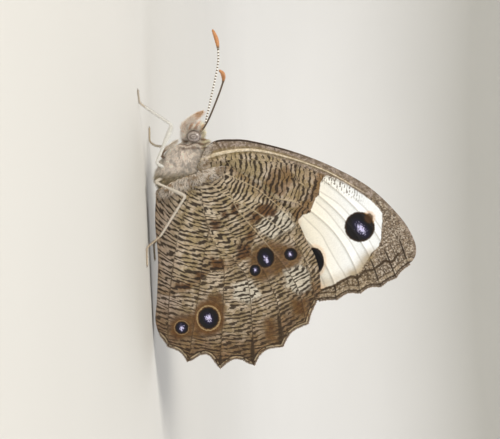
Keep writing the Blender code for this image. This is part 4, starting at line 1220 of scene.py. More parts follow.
BODY_STATIONS = [
    (-5.62, 6.8, 7.25, 0.22), (-5.45, 6.35, 7.7, 0.6), (-5.05, 5.95, 8.05, 0.95), (-4.55, 5.8, 8.2, 1.08),
    (-4.0, 5.75, 8.1, 1.0), (-3.55, 5.35, 8.0, 0.98), (-3.1, 4.5, 8.15, 1.3), (-2.4, 3.3, 8.4, 1.65),
    (-1.2, 2.4, 8.4, 1.9), (0.0, 1.95, 8.05, 1.95), (1.2, 1.8, 7.45, 1.85), (2.3, 2.3, 6.9, 1.65),
    (3.2, 3.1, 6.45, 1.42), (4.0, 3.3, 6.3, 1.4), (5.0, 3.22, 6.25, 1.5), (7.0, 2.8, 6.0, 1.6),
    (9.0, 2.4, 5.6, 1.6), (11.0, 2.0, 5.08, 1.53), (13.0, 1.7, 4.4, 1.36), (14.8, 1.55, 3.65, 1.05),
    (16.0, 1.65, 3.0, 0.66), (16.5, 1.95, 2.5, 0.28),
]
BODY_SIDES = 64
BODY_STEP = 0.13
SEGMENTS_START = 4.4
SEGMENT_LENGTH = 1.62


def coat_colour(tree, root, middle, tip):
    """Hair darker at its root and paler at its tip, each lock a little different from the next."""
    along = field(tree, "along")
    tone = field(tree, "tone")
    at = node(tree, "ShaderNodeTexCoord")
    clouds = node(tree, "ShaderNodeTexNoise", {"Vector": (at, "Object"), "Scale": 700.0, "Detail": 2.0})
    colour = blend(tree, step_between(tree, along, 0.0, 0.6), root, middle)
    share = node(tree, "ShaderNodeMath", {0: tone, 1: along}, operation="MULTIPLY")
    colour = blend(tree, share, colour, tip)
    shade = node(tree, "ShaderNodeMapRange", {
        "Value": clouds, "From Min": 0.3, "From Max": 0.7, "To Min": 0.84, "To Max": 1.12,
    })
    return blend(tree, 1.0, colour, shade, "MULTIPLY")


def soft_hair(material, tree, shader, colour):
    """Finish hair of a given colour: dull, with a sheen where it turns from the light."""
    surface(tree, shader, colour, 0.65)
    shader.inputs["Specular IOR Level"].default_value = 0.3
    shader.inputs["Sheen Weight"].default_value = 0.4
    shader.inputs["Sheen Roughness"].default_value = 0.35
    return material


def hair_finish(name, root, middle, tip):
    """Soft insect hair in three tones."""
    material, tree, shader = new_material(name)
    return soft_hair(material, tree, shader, coat_colour(tree, root, middle, tip))


def own_place(tree):
    """A point's place in the model's own millimetres, whole and as its parts."""
    at = node(tree, "ShaderNodeTexCoord")
    scaled = node(tree, "ShaderNodeVectorMath", {0: (at, "Object"), 1: (1 / MM,) * 3}, operation="MULTIPLY")
    moved = node(tree, "ShaderNodeVectorMath", {0: scaled, 1: tuple(SHIFT)}, operation="SUBTRACT")
    return moved, node(tree, "ShaderNodeSeparateXYZ", {"Vector": moved})


def banded(tree, phase, wander, sway):
    """Soft wavering bands across a number that grows by about six from one band to the next."""
    moved = node(tree, "ShaderNodeMath", {0: wander, 1: sway, 2: phase}, operation="MULTIPLY_ADD")
    return step_between(tree, node(tree, "ShaderNodeMath", {0: moved}, operation="SINE"), -0.3, 0.7)


def body_marks(tree, colour):
    """Markings that skin and coat share: a banded collar, a striped face, a greener nape, browner back."""
    moved, place = own_place(tree)
    aft, up = (place, "X"), (place, "Z")
    wander = node(tree, "ShaderNodeTexNoise", {"Vector": moved, "Scale": 0.9, "Detail": 2.0})
    neck = times(tree, step_between(tree, aft, -2.5, -2.9), step_between(tree, aft, -4.5, -4.2))
    collar = times(tree, neck, step_between(tree, up, 4.6, 5.4))
    round_neck = node(tree, "ShaderNodeMath", {0: aft, 1: 10.5}, operation="MULTIPLY")
    colour = blend(tree, times(tree, collar, banded(tree, round_neck, wander, 12.0), 0.9), colour,
                   "#a88c76", "MULTIPLY")
    face = step_between(tree, aft, -4.9, -5.4)
    across = node(tree, "ShaderNodeVectorMath", {0: moved, 1: (4.6, 0.0, 6.6)}, operation="DOT_PRODUCT")
    stripes = banded(tree, (across, "Value"), wander, 7.0)
    colour = blend(tree, times(tree, face, stripes, 0.7), colour, "#d8a878", "MULTIPLY")
    nape = times(tree, step_between(tree, up, 7.8, 8.5), step_between(tree, aft, -2.0, -2.8))
    colour = blend(tree, nape, colour, "#f2f0d6", "MULTIPLY")
    back = times(tree, step_between(tree, up, 7.6, 8.4), step_between(tree, aft, -2.6, -1.8))
    colour = blend(tree, times(tree, back, 0.8), colour, "#c0ad96", "MULTIPLY")
    behind = step_between(tree, aft, 0.1, 1.5)
    colour = blend(tree, behind, colour, "#cdc4a9", "MULTIPLY")
    flecks = node(tree, "ShaderNodeTexNoise", {"Vector": moved, "Scale": 3.6, "Detail": 2.0})
    colour = blend(tree, times(tree, behind, step_between(tree, flecks, 0.48, 0.56), 0.7), colour,
                   "#a89b80", "MULTIPLY")
    clouds = node(tree, "ShaderNodeTexNoise", {
        "Vector": moved, "Scale": 1.7, "Detail": 3.0, "Roughness": 0.6,
    })
    shade = node(tree, "ShaderNodeMapRange", {
        "Value": clouds, "From Min": 0.38, "From Max": 0.6, "To Min": 0.68, "To Max": 1.24,
    })
    return blend(tree, 1.0, colour, shade, "MULTIPLY")


def body_coat():
    """Body hair: soft pinkish beige with cream tips."""
    material, tree, shader = new_material("body_hair")
    colour = body_marks(tree, coat_colour(tree, "#e0cfbc", "#f7ebdd", "#fffcf6"))
    return soft_hair(material, tree, shader, colour)


def body_skin_finish():
    """Skin under the hair: brown cuticle, finely wrinkled."""
    material, tree, shader = new_material("body_cuticle")
    at = node(tree, "ShaderNodeTexCoord")
    clouds = node(tree, "ShaderNodeTexNoise", {"Vector": (at, "Object"), "Scale": 900.0, "Detail": 4.0})
    colour = body_marks(tree, blend(tree, clouds, "#a08b77", "#d0bda8"))
    grit = node(tree, "ShaderNodeTexNoise", {"Vector": (at, "Object"), "Scale": 9000.0, "Detail": 2.0})
    surface(tree, shader, colour, 0.8, grit, 0.5, 0.03)
    return material


def make_body():
    """One skin for head, thorax and abdomen, and the coat that grows from it."""
    stations = curve(BODY_STATIONS, 8)
    count = round((stations[-1, 0] - stations[0, 0]) / BODY_STEP)
    places = np.linspace(stations[0, 0], stations[-1, 0], count)
    low, high, half = [np.interp(places, stations[:, 0], stations[:, axis]) for axis in (1, 2, 3)]
    phase = (places - SEGMENTS_START) / SEGMENT_LENGTH
    groove = np.where(places > SEGMENTS_START, 0.05 * np.exp(-((phase - np.round(phase)) / 0.1) ** 2), 0.0)
    angles = 2 * math.pi * (np.arange(BODY_SIDES) + 0.5) / BODY_SIDES - math.pi / 2
    rings = np.empty((count, BODY_SIDES, 3))
    squareness = 2.25
    sine, cosine = np.sin(angles), np.cos(angles)
    round_off = (np.abs(sine) ** squareness + np.abs(cosine) ** squareness) ** (-1 / squareness)
    for index in range(count):
        middle, reach = (low[index] + high[index]) / 2, (high[index] - low[index]) / 2
        pinch = 1.0 - groove[index]
        rings[index, :, 0] = places[index]
        rings[index, :, 1] = half[index] * pinch * round_off * cosine
        rings[index, :, 2] = middle + reach * pinch * round_off * sine
    ends = np.array([
        (places[0] - 0.04, 0.0, (low[0] + high[0]) / 2), (places[-1] + 0.05, 0.0, (low[-1] + high[-1]) / 2),
    ])
    shares = (places - places[0]) / (places[-1] - places[0])
    skin = skin_over("body_skin", rings, ends, body_skin_finish(), shares)
    spots, normals = points_of(skin.data)
    aft, out, up = spots.T
    head = smoothstep(-3.3, -3.9, aft)
    tail = smoothstep(2.2, 4.0, aft)
    outwards = np.sign(out)
    face = smoothstep(-4.75, -5.2, aft) * smoothstep(6.1, 6.6, up)
    crown = smoothstep(-4.0, -4.6, aft) * smoothstep(7.6, 8.0, up) * (1.0 - face)
    nape = smoothstep(-4.4, -3.9, aft) * smoothstep(-2.0, -2.8, aft) * smoothstep(7.2, 7.8, up)
    chin = smoothstep(-3.7, -4.1, aft) * smoothstep(6.5, 6.0, up) * (1.0 - face)
    shoulder = smoothstep(-3.6, -3.1, aft) * smoothstep(-0.4, -1.2, aft)
    shoulder = shoulder * smoothstep(6.7, 7.5, up) * (1.0 - nape)
    chest = (1 - tail) * (1 - head)
    flow = np.column_stack([
        0.9 - 0.3 * chest - 1.0 * head * smoothstep(7.6, 6.4, up) * smoothstep(-4.6, -5.4, aft),
        0.0 * aft,
        chest * (-0.75 + 1.0 * smoothstep(3.2, 6.8, up)) - 0.3 * head,
    ])
    flow -= normals * np.sum(flow * normals, axis=1)[:, None]
    flow /= np.maximum(np.linalg.norm(flow, axis=1), 1e-6)[:, None]
    lift = 0.34 * (1 - tail) + 0.16 * tail + 0.2 * head
    lapping = smoothstep(-1.0, 0.4, aft)
    lift = lift + 0.45 * lapping * chest
    lie = flow + normals * lift[:, None]
    special = [
        (face, np.column_stack([-0.85 + 0.0 * aft, 0.05 * outwards, 0.5 + 0.0 * aft])),
        (crown, np.column_stack([-0.3 + 0.0 * aft, 0.1 * outwards, 0.9 + 0.0 * aft])),
        (chin, np.column_stack([-0.5 + 0.0 * aft, 0.1 * outwards, -0.8 + 0.0 * aft])),
        (nape, np.column_stack([0.12 + 0.0 * aft, 0.12 * outwards, 1.0 + 0.0 * aft])),
        (shoulder, np.column_stack([0.2 + 0.0 * aft, 0.22 * outwards, 1.0 + 0.0 * aft])),
    ]
    below = smoothstep(4.2, 3.2, up) * smoothstep(-0.6, -1.4, aft)
    growth = (0.8 - 0.15 * below + 0.45 * lapping) * chest + 0.42 * head + 0.42 * tail
    for (share, course), long in zip(special, (1.4, 0.8, 0.95, 1.55, 1.2)):
        lie = lie * (1 - share)[:, None] + (course + normals * 0.2) * share[:, None]
        growth = growth * (1 - share) + long * share
    eye = np.linalg.norm((np.column_stack([aft, np.abs(out), up]) - EYE_CENTRE) / (EYE_RADII * 1.05), axis=1)
    cover = np.where(eye < 1.0, 0.0, 1.0)
    dress(skin.data, lie, growth, cover)
    coat = body_coat()
    regions = [
        ("head_fur", head > 0.5, HAIR, 0.06, 0.046, 0.16),
        ("thorax_fur", (head <= 0.5) & (tail <= 0.5), HAIR, 0.085, 0.067, 0.36),
        ("abdomen_fur", tail > 0.5, TUFT, 0.12, 0.1, 0.24),
    ]
    for name, region, lock, width, spacing, spread in regions:
        keep_values(skin.data, "cover", cover * region)
        show(grow(name, skin.data, lock, coat, 1.0, width, spacing=spacing, spread=spread), "coat")
    show(skin, "coat", "head", "thorax", "abdomen")


# Wings with their fringes and root hair

def root_hair_finish(name, far_colour):
    """Hair like the body's where it grows long beside the body, and nearer the wing's own colour beyond."""
    material, tree, shader = new_material(name)
    base = coat_colour(tree, "#d9cab6", "#f7ecdf", "#fffbf3")
    growth = field(tree, "growth")
    moved = own_place(tree)[0]
    clumps = node(tree, "ShaderNodeTexNoise", {
        "Vector": moved, "Scale": 1.3, "Detail": 3.0, "Roughness": 0.6,
    })
    mottled_hair = blend(tree, step_between(tree, clumps, 0.5, 0.62), base, "#bda88c", "MULTIPLY")
    colour = blend(tree, step_between(tree, growth, 1.0, 0.6), mottled_hair, far_colour, "MULTIPLY")
    return soft_hair(material, tree, shader, colour)


def make_wings():
    under_front, under_back = forewing_under(), hindwing_under()
    upper_front = wing_upper("forewing_upperside_scales", 0.8)
    upper_back = wing_upper("hindwing_upperside_scales", 0.0)
    fringe = hair_finish("wing_fringe_scales", "#5b4732", "#7d6850", "#a8967c")
    fluff = root_hair_finish("hindwing_root_hair", "#8d806b")
    warm_fluff = root_hair_finish("forewing_root_hair", "#b8a792")
    for side, word in ((-1, "left"), (1, "right")):
        front = make_wing(f"forewing_{word}", side, FOREWING_PLAN, [under_front, upper_front], fringe)
        root_hair(f"forewing_{word}_root_hair", front, FOREWING_ROOT, 1.4, warm_fluff)
        back = make_wing(f"hindwing_{word}", side, HINDWING_PLAN, [under_back, upper_back], fringe)
        root_hair(f"hindwing_{word}_root_hair", back, HINDWING_ROOT, 2.9, fluff)


# Eyes

EYE_RIM_HAIRS = 150


def eye_finish():
    """A compound eye: greyish brown with darker rings, faceted, and softly glossy like horn.

    Its facets are drawn 0.06 mm across, about twice as wide as real ones, so that they show.
    """
    material, tree, shader = new_material("compound_eye_lens")
    ring = field(tree, "ring")
    at = node(tree, "ShaderNodeTexCoord")
    wander = node(tree, "ShaderNodeTexNoise", {"Vector": (at, "Object"), "Scale": 1500.0, "Detail": 2.0})
    moved = node(tree, "ShaderNodeMath", {0: wander, 1: 0.2, 2: ring}, operation="MULTIPLY_ADD")
    turns = node(tree, "ShaderNodeMath", {0: moved, 1: 12.6}, operation="MULTIPLY")
    wave = node(tree, "ShaderNodeMath", {0: turns}, operation="COSINE")
    colour = blend(tree, step_between(tree, wave, -0.3, 0.9), "#bcb1a8", "#80746c")
    pupil = step_between(tree, ring, 0.16, 0.05)
    colour = blend(tree, times(tree, pupil, 0.7), colour, "#54463f")
    rim = step_between(tree, ring, 0.9, 1.08)
    colour = blend(tree, times(tree, rim, 0.7), colour, "#5a4c44")
    facets = node(tree, "ShaderNodeTexVoronoi", {
        "Vector": (at, "Object"), "Scale": 16500.0,
    }, feature="DISTANCE_TO_EDGE")
    net = step_between(tree, (facets, "Distance"), 0.0, 0.16)
    colour = blend(tree, net, "#4a3c35", colour)
    surface(tree, shader, colour, 0.32, (facets, "Distance"), 0.35, 0.02)
    shader.inputs["Coat Weight"].default_value = 0.5
    shader.inputs["Coat Roughness"].default_value = 0.12
    return material


def make_eyes():
    lens = eye_finish()
    rim_hair = hair_finish("eye_ring_hair", "#a8937d", "#dccdb9", "#fbf6ec")
    turned = Matrix.Rotation(EYE_TILT, 3, "Y")
    for side, word in ((-1, "left"), (1, "right")):
        centre = Vector((EYE_CENTRE.x, side * EYE_CENTRE.y, EYE_CENTRE.z))
        shape = bmesh.new()
        bmesh.ops.create_uvsphere(shape, u_segments=64, v_segments=40, radius=1.0)
        units = np.array([tuple(vert.co) for vert in shape.verts])
        faces = [tuple(vert.index for vert in face.verts) for face in shape.faces]
        shape.free()
        points = [centre + turned @ Vector(tuple(unit * np.array(EYE_RADII))) for unit in units]
        eye = add_piece(f"eye_{word}_lens", [tuple(point) for point in points], faces, [lens])
        along_eye = np.sqrt(units[:, 2] ** 2 + 0.03) - 0.17
        keep_values(eye.data, "ring", np.hypot(units[:, 0], along_eye * 1.15))
        show(eye, "compound_eye", f"eye_{word}")
        angles = np.linspace(0.0, 2 * math.pi, EYE_RIM_HAIRS, endpoint=False)
        rim, lie, facing = [], [], []
        for angle in angles:
            spoke = Vector((math.cos(angle), 0.0, math.sin(angle)))
            place = Vector((spoke.x * EYE_RADII.x * 1.02, -side * 0.16, spoke.z * EYE_RADII.z * 1.02))
            rim.append(tuple(centre + turned @ place))
            lie.append(tuple(turned @ (spoke * 0.8 + Vector((0.3, side * 0.5, 0.0)))))
            facing.append((0.0, float(side), 0.0))
        edge = bpy.data.meshes.new("eye_rim")
        edge.from_pydata(((np.array(rim) + SHIFT) * MM).tolist(), [], [])
        ahead = np.clip(-0.8 * np.cos(angles) - 0.6 * np.sin(angles), 0.0, 1.0)
        dress(edge, lie, 0.5 + 1.1 * ahead, np.ones(len(rim)), 0.7 + 0.7 * ahead)
        keep_values(edge, "facing", facing)
        rooted = [angles / 7.0 + 0.03, np.full(EYE_RIM_HAIRS, 0.5), np.zeros(EYE_RIM_HAIRS)]
        keep_values(edge, "skin", np.column_stack(rooted))
        ring = grow(f"eye_{word}_ring", edge, HAIR, rim_hair, 0.36, 0.075, spread=0.4, on_faces=False)
        show(ring, "coat")


# Palps and antennae

PALP_PATHS = {
    "palp_left": [
        (-4.9, -0.6, 6.0), (-5.7, -0.62, 5.7), (-6.3, -0.62, 6.1), (-6.8, -0.56, 6.8), (-7.2, -0.45, 7.65)],
    "palp_right": [
        (-4.9, 0.6, 6.0), (-5.8, 0.62, 5.8), (-6.6, 0.62, 6.4), (-7.2, 0.56, 7.3), (-7.8, 0.45, 8.35)],
}
PALP_RADII = [0.2, 0.22, 0.24, 0.2, 0.07]
PALP_SIDES = 20
ANTENNA_PATHS = {
    "antenna_left": [
        (-5.0, -0.45, 7.9), (-5.55, -0.8, 8.5), (-6.9, -2.1, 9.4), (-9.2, -4.4, 10.6),
        (-11.05, -6.6, 11.5), (-12.3, -8.3, 12.0), (-13.1, -9.6, 12.0), (-13.6, -10.4, 11.6)],
    "antenna_right": [
        (-5.0, 0.45, 7.9), (-5.6, 0.6, 8.5), (-7.0, 1.0, 8.9), (-9.4, 1.9, 9.5),
        (-13.9, 3.2, 10.6), (-16.2, 3.7, 10.8), (-17.9, 4.0, 10.6), (-19.3, 4.2, 10.1)],
}
ANTENNA_RADIUS = 0.13
ANTENNA_SIDES = 18
CLUB_RADIUS = 0.3
CLUB_LENGTH = 3.6
ANTENNA_RING = 0.43


def make_palps():
    """Palps held up before the face, brushed with long hair and orange-brown at their tips."""
    core = hair_finish("palp_cuticle", "#a58461", "#b8966f", "#cbab82")
    material, tree, shader = new_material("palp_hair")
    base = coat_colour(tree, "#e6d8c4", "#fbf1e2", "#fffcf6")
    travel = field(tree, "travel")
    tone = field(tree, "tone")
    streak = blend(tree, times(tree, step_between(tree, tone, 0.6, 0.78), 0.6), base, "#c68a52")
    tip = step_between(tree, travel, 2.2, 3.4)
    soft_hair(material, tree, shader, blend(tree, times(tree, tip, 0.7), streak, "#cb9450"))
    for name, path in PALP_PATHS.items():
        line = evenly(curve(path, 10), 0.09)
        radii = np.interp(np.linspace(0, 4, len(line)), range(5), PALP_RADII)
        piece, travelled, spokes, along = make_tube(name + "_core", line, radii, PALP_SIDES, core)
        courses = np.repeat(along, PALP_SIDES, axis=0) + spokes.reshape(-1, 3) * 0.36
        courses = np.vstack([courses, along[:1], along[-1:]])
        shares = np.concatenate([np.repeat(travelled, PALP_SIDES), [0.0, travelled[-1]]]) / travelled[-1]
        behind = np.clip(spokes[:, :, 0] + 0.5 * spokes[:, :, 2], 0.0, 1.0)
        behind = np.concatenate([behind.ravel(), [0.0, 0.0]])
        growth = (0.85 + 0.55 * behind) * (1.0 - 0.5 * smoothstep(0.6, 1.0, shares))
        dress(piece.data, courses, growth, np.ones(len(growth)))
        brush = grow(name + "_brush", piece.data, HAIR, material, 1.0, 0.065, spacing=0.05, spread=0.14)
        show(piece, "palp_brush", name)
        show(brush, "palp_brush")


def antenna_finish():
    """Feeler: dark scaled shaft with a white dot at each joint, and an orange-brown club."""
    material, tree, shader = new_material("antenna_scales")
    travel = field(tree, "travel")
    inner = field(tree, "inner")
    club = field(tree, "club")
    phase = node(tree, "ShaderNodeMath", {0: travel, 1: 1.0 / ANTENNA_RING}, operation="MULTIPLY")
    share = node(tree, "ShaderNodeMath", {0: phase}, operation="FRACT")
    lower = step_between(tree, share, 0.02, 0.12)
    upper = step_between(tree, share, 0.62, 0.5)
    inner_face = step_between(tree, inner, -0.15, 0.15)
    dot = times(tree, lower, upper, inner_face, step_between(tree, club, 0.4, 0.1))
    at = node(tree, "ShaderNodeTexCoord")
    specks = node(tree, "ShaderNodeTexNoise", {"Vector": (at, "Object"), "Scale": 7000.0, "Detail": 2.0})
    shaft = blend(tree, step_between(tree, specks, 0.35, 0.65), "#4a3c30", "#776650")
    colour = blend(tree, dot, shaft, "#f6f4ec")
    tip = blend(tree, specks, "#a8683c", "#d09a66")
    colour = blend(tree, step_between(tree, club, 0.3, 0.75), colour, tip)
    surface(tree, shader, colour, 0.55, specks, 0.4, 0.03)
    return material


def make_antennae():
    finish = antenna_finish()
    for side, name in ((-1, "antenna_left"), (1, "antenna_right")):
        line = evenly(curve(ANTENNA_PATHS[name], 12), ANTENNA_RING / 8)
        travelled = distances(line)
        whole = travelled[-1]
        club = smoothstep(whole - CLUB_LENGTH, whole - CLUB_LENGTH * 0.45, travelled)
        end = np.sqrt(np.clip((whole - travelled) / (CLUB_LENGTH * 0.3), 0.0, 1.0))
        joint = np.abs(np.modf(travelled / ANTENNA_RING)[0] - 0.5) * 2
        radii = (ANTENNA_RADIUS + (CLUB_RADIUS - ANTENNA_RADIUS) * club) * (1.0 - 0.12 * joint ** 4)
        radii = np.maximum(radii * (0.25 + 0.75 * end), 0.05)
        radii[:6] = np.maximum(radii[:6], 0.17)
        piece, _, spokes, _ = make_tube(name + "_shaft", line, radii, ANTENNA_SIDES, finish)
        inner = np.concatenate([(-side * spokes[:, :, 1] - 0.4 * spokes[:, :, 0]).ravel(), [0.0, 0.0]])
        keep_values(piece.data, "inner", inner)
        keep_values(piece.data, "club", np.concatenate([np.repeat(club, ANTENNA_SIDES), [0.0, 1.0]]))
        show(piece, "antenna_shaft", name)


# Legs

LEGS = {
    "midleg_left": [
        (-0.3, -1.3, 2.7), (-1.0, -2.2, 1.75), (-6.25, -4.2, 4.4),
        (-9.0, -5.3, 0.8), (-9.6, -5.7, 0.0), (-11.3, -7.0, 0.0)],
    "midleg_right": [
        (-0.3, 1.3, 2.7), (-0.9, 2.3, 1.8), (-2.5, 5.9, 5.0),
        (-3.05, 6.9, 0.9), (-3.65, 7.0, 0.0), (-5.6, 7.7, 0.0)],
    "hindleg_left": [
        (1.1, -1.2, 2.5), (1.6, -3.0, 1.5), (3.6, -4.4, 5.8),
        (9.0, -5.1, 2.1), (10.5, -5.4, 0.0), (12.9, -6.0, 0.0)],
    "hindleg_right": [
        (1.1, 1.2, 2.5), (1.6, 3.0, 1.5), (4.0, 4.5, 5.8),
        (9.4, 5.3, 2.1), (10.9, 5.7, 0.0), (13.3, 6.4, 0.0)],
}
# How white each leg's scales are: the right mid leg's value, lower than the left's, is painted shade of the
# far side; the rest is the legs' own colour
LEG_FAIRNESS_AND_SHADE = {"midleg_left": 1.0, "midleg_right": 0.55, "hindleg_left": 0.6, "hindleg_right": 0.6}
LEG_STOUTNESS = {"midleg_left": 1.0, "midleg_right": 0.9, "hindleg_left": 0.7, "hindleg_right": 0.7}
TARSUS_RADIUS = 0.13
LEG_SIDES = 20
FORELEG_SIDES = 16
FORELEG_PATH = [
    (-1.5, 0.9, 3.0), (-1.95, 0.95, 2.45), (-2.5, 0.95, 2.65), (-3.15, 0.92, 3.5), (-3.85, 0.87, 4.6),
]


def rounded_path(joints, bend, step):
    """Straight runs between joints, with each joint turned on a small arc, and each joint's place."""
    joints = np.asarray(joints, float)
    line = [joints[0]]
    for before, joint, after in zip(joints, joints[1:], joints[2:]):
        back, on = before - joint, after - joint
        near = min(bend, 0.45 * np.linalg.norm(back), 0.45 * np.linalg.norm(on))
        start = joint + back / np.linalg.norm(back) * near
        end = joint + on / np.linalg.norm(on) * near
        for share in np.linspace(0.0, 1.0, 7):
            line.append((1 - share) ** 2 * start + 2 * share * (1 - share) * joint + share ** 2 * end)
    line.append(joints[-1])
    line = evenly(np.array(line), step)
    travelled = distances(line)
    places = [travelled[np.argmin(np.linalg.norm(line - joint, axis=1))] for joint in joints]
    return line, travelled, places


def leg_finish():
    """Leg scales: white to tan, closely laid and matt, over horny brown cuticle."""
    material, tree, shader = new_material("leg_scales")
    fair = field(tree, "fair")
    tone = field(tree, "tone")
    at = node(tree, "ShaderNodeTexCoord")
    clouds = node(tree, "ShaderNodeTexNoise", {"Vector": (at, "Object"), "Scale": 1500.0, "Detail": 3.0})
    tan = blend(tree, clouds, "#a98c63", "#dcc7a2")
    # Whiter or tanner by the legs' own colour, and darker on the far mid leg as painted shade
    colour = blend(tree, fair, tan, "#faf8f0")
    shade = node(tree, "ShaderNodeMapRange", {"Value": tone, "To Min": 0.82, "To Max": 1.08})
    colour = blend(tree, 1.0, colour, shade, "MULTIPLY")
    grit = node(tree, "ShaderNodeTexNoise", {"Vector": (at, "Object"), "Scale": 12000.0, "Detail": 2.0})
    surface(tree, shader, colour, 0.6, grit, 0.4, 0.03)
    return material


def spine_finish():
    """Leg spines and claws: dark glossy horn."""
    material, tree, shader = new_material("leg_spine_horn")
    at = node(tree, "ShaderNodeTexCoord")
    clouds = node(tree, "ShaderNodeTexNoise", {"Vector": (at, "Object"), "Scale": 4000.0, "Detail": 2.0})
    colour = blend(tree, clouds, "#4a3623", "#7a5f3f")
    surface(tree, shader, colour, 0.35)
    return material


def make_claws(name, toe, course, material):
    """Two small hooked claws that hold the floor."""
    points, faces = [], []
    across = np.cross(course, (0.0, 0.0, 1.0))
    across /= np.linalg.norm(across)
    for side in (-1, 1):
        path = [
            toe + across * side * 0.04, toe + course * 0.12 + across * side * 0.09 + (0, 0, 0.03),
            toe + course * 0.22 + across * side * 0.12 - (0, 0, 0.02),
            toe + course * 0.26 + across * side * 0.13 - (0, 0, toe[2] - 0.012),
        ]
        line = curve(path, 4)
        rings = tube_rings(line, np.linspace(0.045, 0.01, len(line)), 8)[0]
        ends = np.array([line[0], line[-1] - (0, 0, 0.005)])
        start = len(points)
        points += list(rings.reshape(-1, 3)) + list(ends)
        faces += [tuple(index + start for index in face) for face in closed_rings(len(line), 8)]
    return add_piece(name, points, faces, [material])


def make_legs():
    scales, horn = leg_finish(), spine_finish()
    for name, joints in LEGS.items():
        joints = np.array(joints)
        joints[4:, 2] = TARSUS_RADIUS
        joints[3, 2] = max(joints[3, 2], 0.5)
        line, travelled, places = rounded_path(joints, 0.45, 0.08)
        hip, trochanter, knee, ankle, _, toe = places
        thigh = knee - trochanter
        stout = LEG_STOUTNESS[name]
        foot = np.linspace(ankle, toe, 6)
        knots = [
            (hip, 0.22), (trochanter, 0.2), (trochanter + thigh * 0.35, 0.2 * stout),
            (trochanter + thigh * 0.6, 0.3 * stout), (knee - 0.7, 0.33 * stout), (knee - 0.2, 0.24 * stout),
            (knee, 0.21), (knee + 0.35, 0.15), ((knee + ankle) / 2, 0.155),
            (ankle - 0.3, 0.14), (ankle, 0.14),
        ]
        for start, end in zip(foot, foot[1:]):
            knots += [(start + 0.08, 0.095), (end - 0.1, TARSUS_RADIUS)]
        knots += [(toe, 0.1)]
        knots.sort()
        radii = np.interp(travelled, [knot[0] for knot in knots], [knot[1] for knot in knots])
        radii = np.where(line[:, 2] - radii < 0.0, np.maximum(line[:, 2] - 0.001, 0.05), radii)
        piece, travelled, spokes, along = make_tube(name + "_skin", line, radii, LEG_SIDES, scales)
        mesh = piece.data
        total = len(mesh.vertices)
        flat_along = np.vstack([np.repeat(along, LEG_SIDES, axis=0), along[:1], along[-1:]])
        flat_spokes = np.vstack([spokes.reshape(-1, 3), -along[:1], along[-1:]])
        reach = np.concatenate([np.repeat(travelled, LEG_SIDES), [0.0, travelled[-1]]])
        fair = np.full(total, LEG_FAIRNESS_AND_SHADE[name])
        fair *= 1.0 - 0.6 * smoothstep(ankle - 0.3, ankle + 0.3, reach)
        keep_values(mesh, "fair", fair)
        on_foot = smoothstep(ankle - 0.4, ankle + 0.1, reach)
        spots, _ = points_of(mesh)
        clear = smoothstep(0.03, 0.12, spots[:, 2])
        dress(mesh, flat_along + flat_spokes * 0.22, 1.0 - 0.35 * on_foot, clear)
        coat = grow(
            name + "_scales", mesh, SCALE, scales, 0.2, 0.085, spacing=0.085, spread=0.12, seed=SEED + 3)
        rim = bpy.data.meshes.new(name + "_spines")
        below = (reach > knee + 0.5) & (np.abs(flat_spokes[:, 2]) < 0.85) & (spots[:, 2] > 0.06)
        chosen = np.nonzero(below)[0][::9]
        rim.from_pydata(((spots[chosen] + SHIFT) * MM).tolist(), [], [])
        full = np.ones(len(chosen))
        dress(rim, flat_along[chosen] * 0.8 + flat_spokes[chosen] * 0.75, full, full)
        keep_values(rim, "facing", flat_spokes[chosen])
        keep_values(rim, "skin", np.column_stack([
            np.linspace(0.02, 0.95, len(chosen)), np.full(len(chosen), 0.5), np.zeros(len(chosen))]))
        spines = grow(name + "_spines", rim, SPINE, horn, 0.24, 0.045, spread=0.1, on_faces=False)
        course = (joints[5] - joints[4]) / np.linalg.norm(joints[5] - joints[4])
        claws = make_claws(name + "_claws", line[-1], course, horn)
        show(piece, "leg_chitin", name + "_femur", name + "_tibia", name + "_tarsus")
        for extra in (coat, spines, claws):
            show(extra, "leg_chitin")


def make_forelegs():
    """The short first pair, folded up to the breast and brushed with hair."""
    hair, tree, shader = new_material("foreleg_hair")
    base = coat_colour(tree, "#b3a28f", "#ebdfcf", "#fcf7ee")
    travel = field(tree, "travel")
    colour = blend(tree, step_between(tree, travel, 2.0, 1.4), base, "#9a8570", "MULTIPLY")
    soft_hair(hair, tree, shader, colour)
    for side, word in ((-1, "left"), (1, "right")):
        path = np.array(FORELEG_PATH) * (1, side, 1)
        line = evenly(curve(path, 8), 0.1)
        radii = np.interp(np.linspace(0, 1, len(line)), [0.0, 0.5, 0.85, 1.0], [0.13, 0.15, 0.13, 0.06])
        piece, travelled, spokes, along = make_tube(f"foreleg_{word}_skin", line, radii, FORELEG_SIDES, hair)
        courses = np.repeat(along, FORELEG_SIDES, axis=0) + spokes.reshape(-1, 3) * 0.45
        courses = np.vstack([courses, along[:1], along[-1:]])
        shares = np.concatenate([np.repeat(travelled, FORELEG_SIDES), [0.0, travelled[-1]]]) / travelled[-1]
        growth = 0.6 + 0.6 * smoothstep(0.4, 0.6, shares)
        dress(piece.data, courses, growth, np.ones(len(courses)))
        brush = grow(f"foreleg_{word}_brush", piece.data, HAIR, hair, 0.5, 0.08, spacing=0.075, spread=0.25)
        show(piece, "leg_chitin", f"foreleg_{word}")
        show(brush, "leg_chitin")


# Studio

VIEW_AZIMUTH = math.radians(-4.5)
VIEW_ELEVATION = math.radians(2.5)
VIEW_TILT = math.radians(2.4)
VIEW_WIDTH = 70.0
VIEW_TARGET = (7.48, -1.7, 14.46)
LENS = 150.0
SENSOR = 36.0


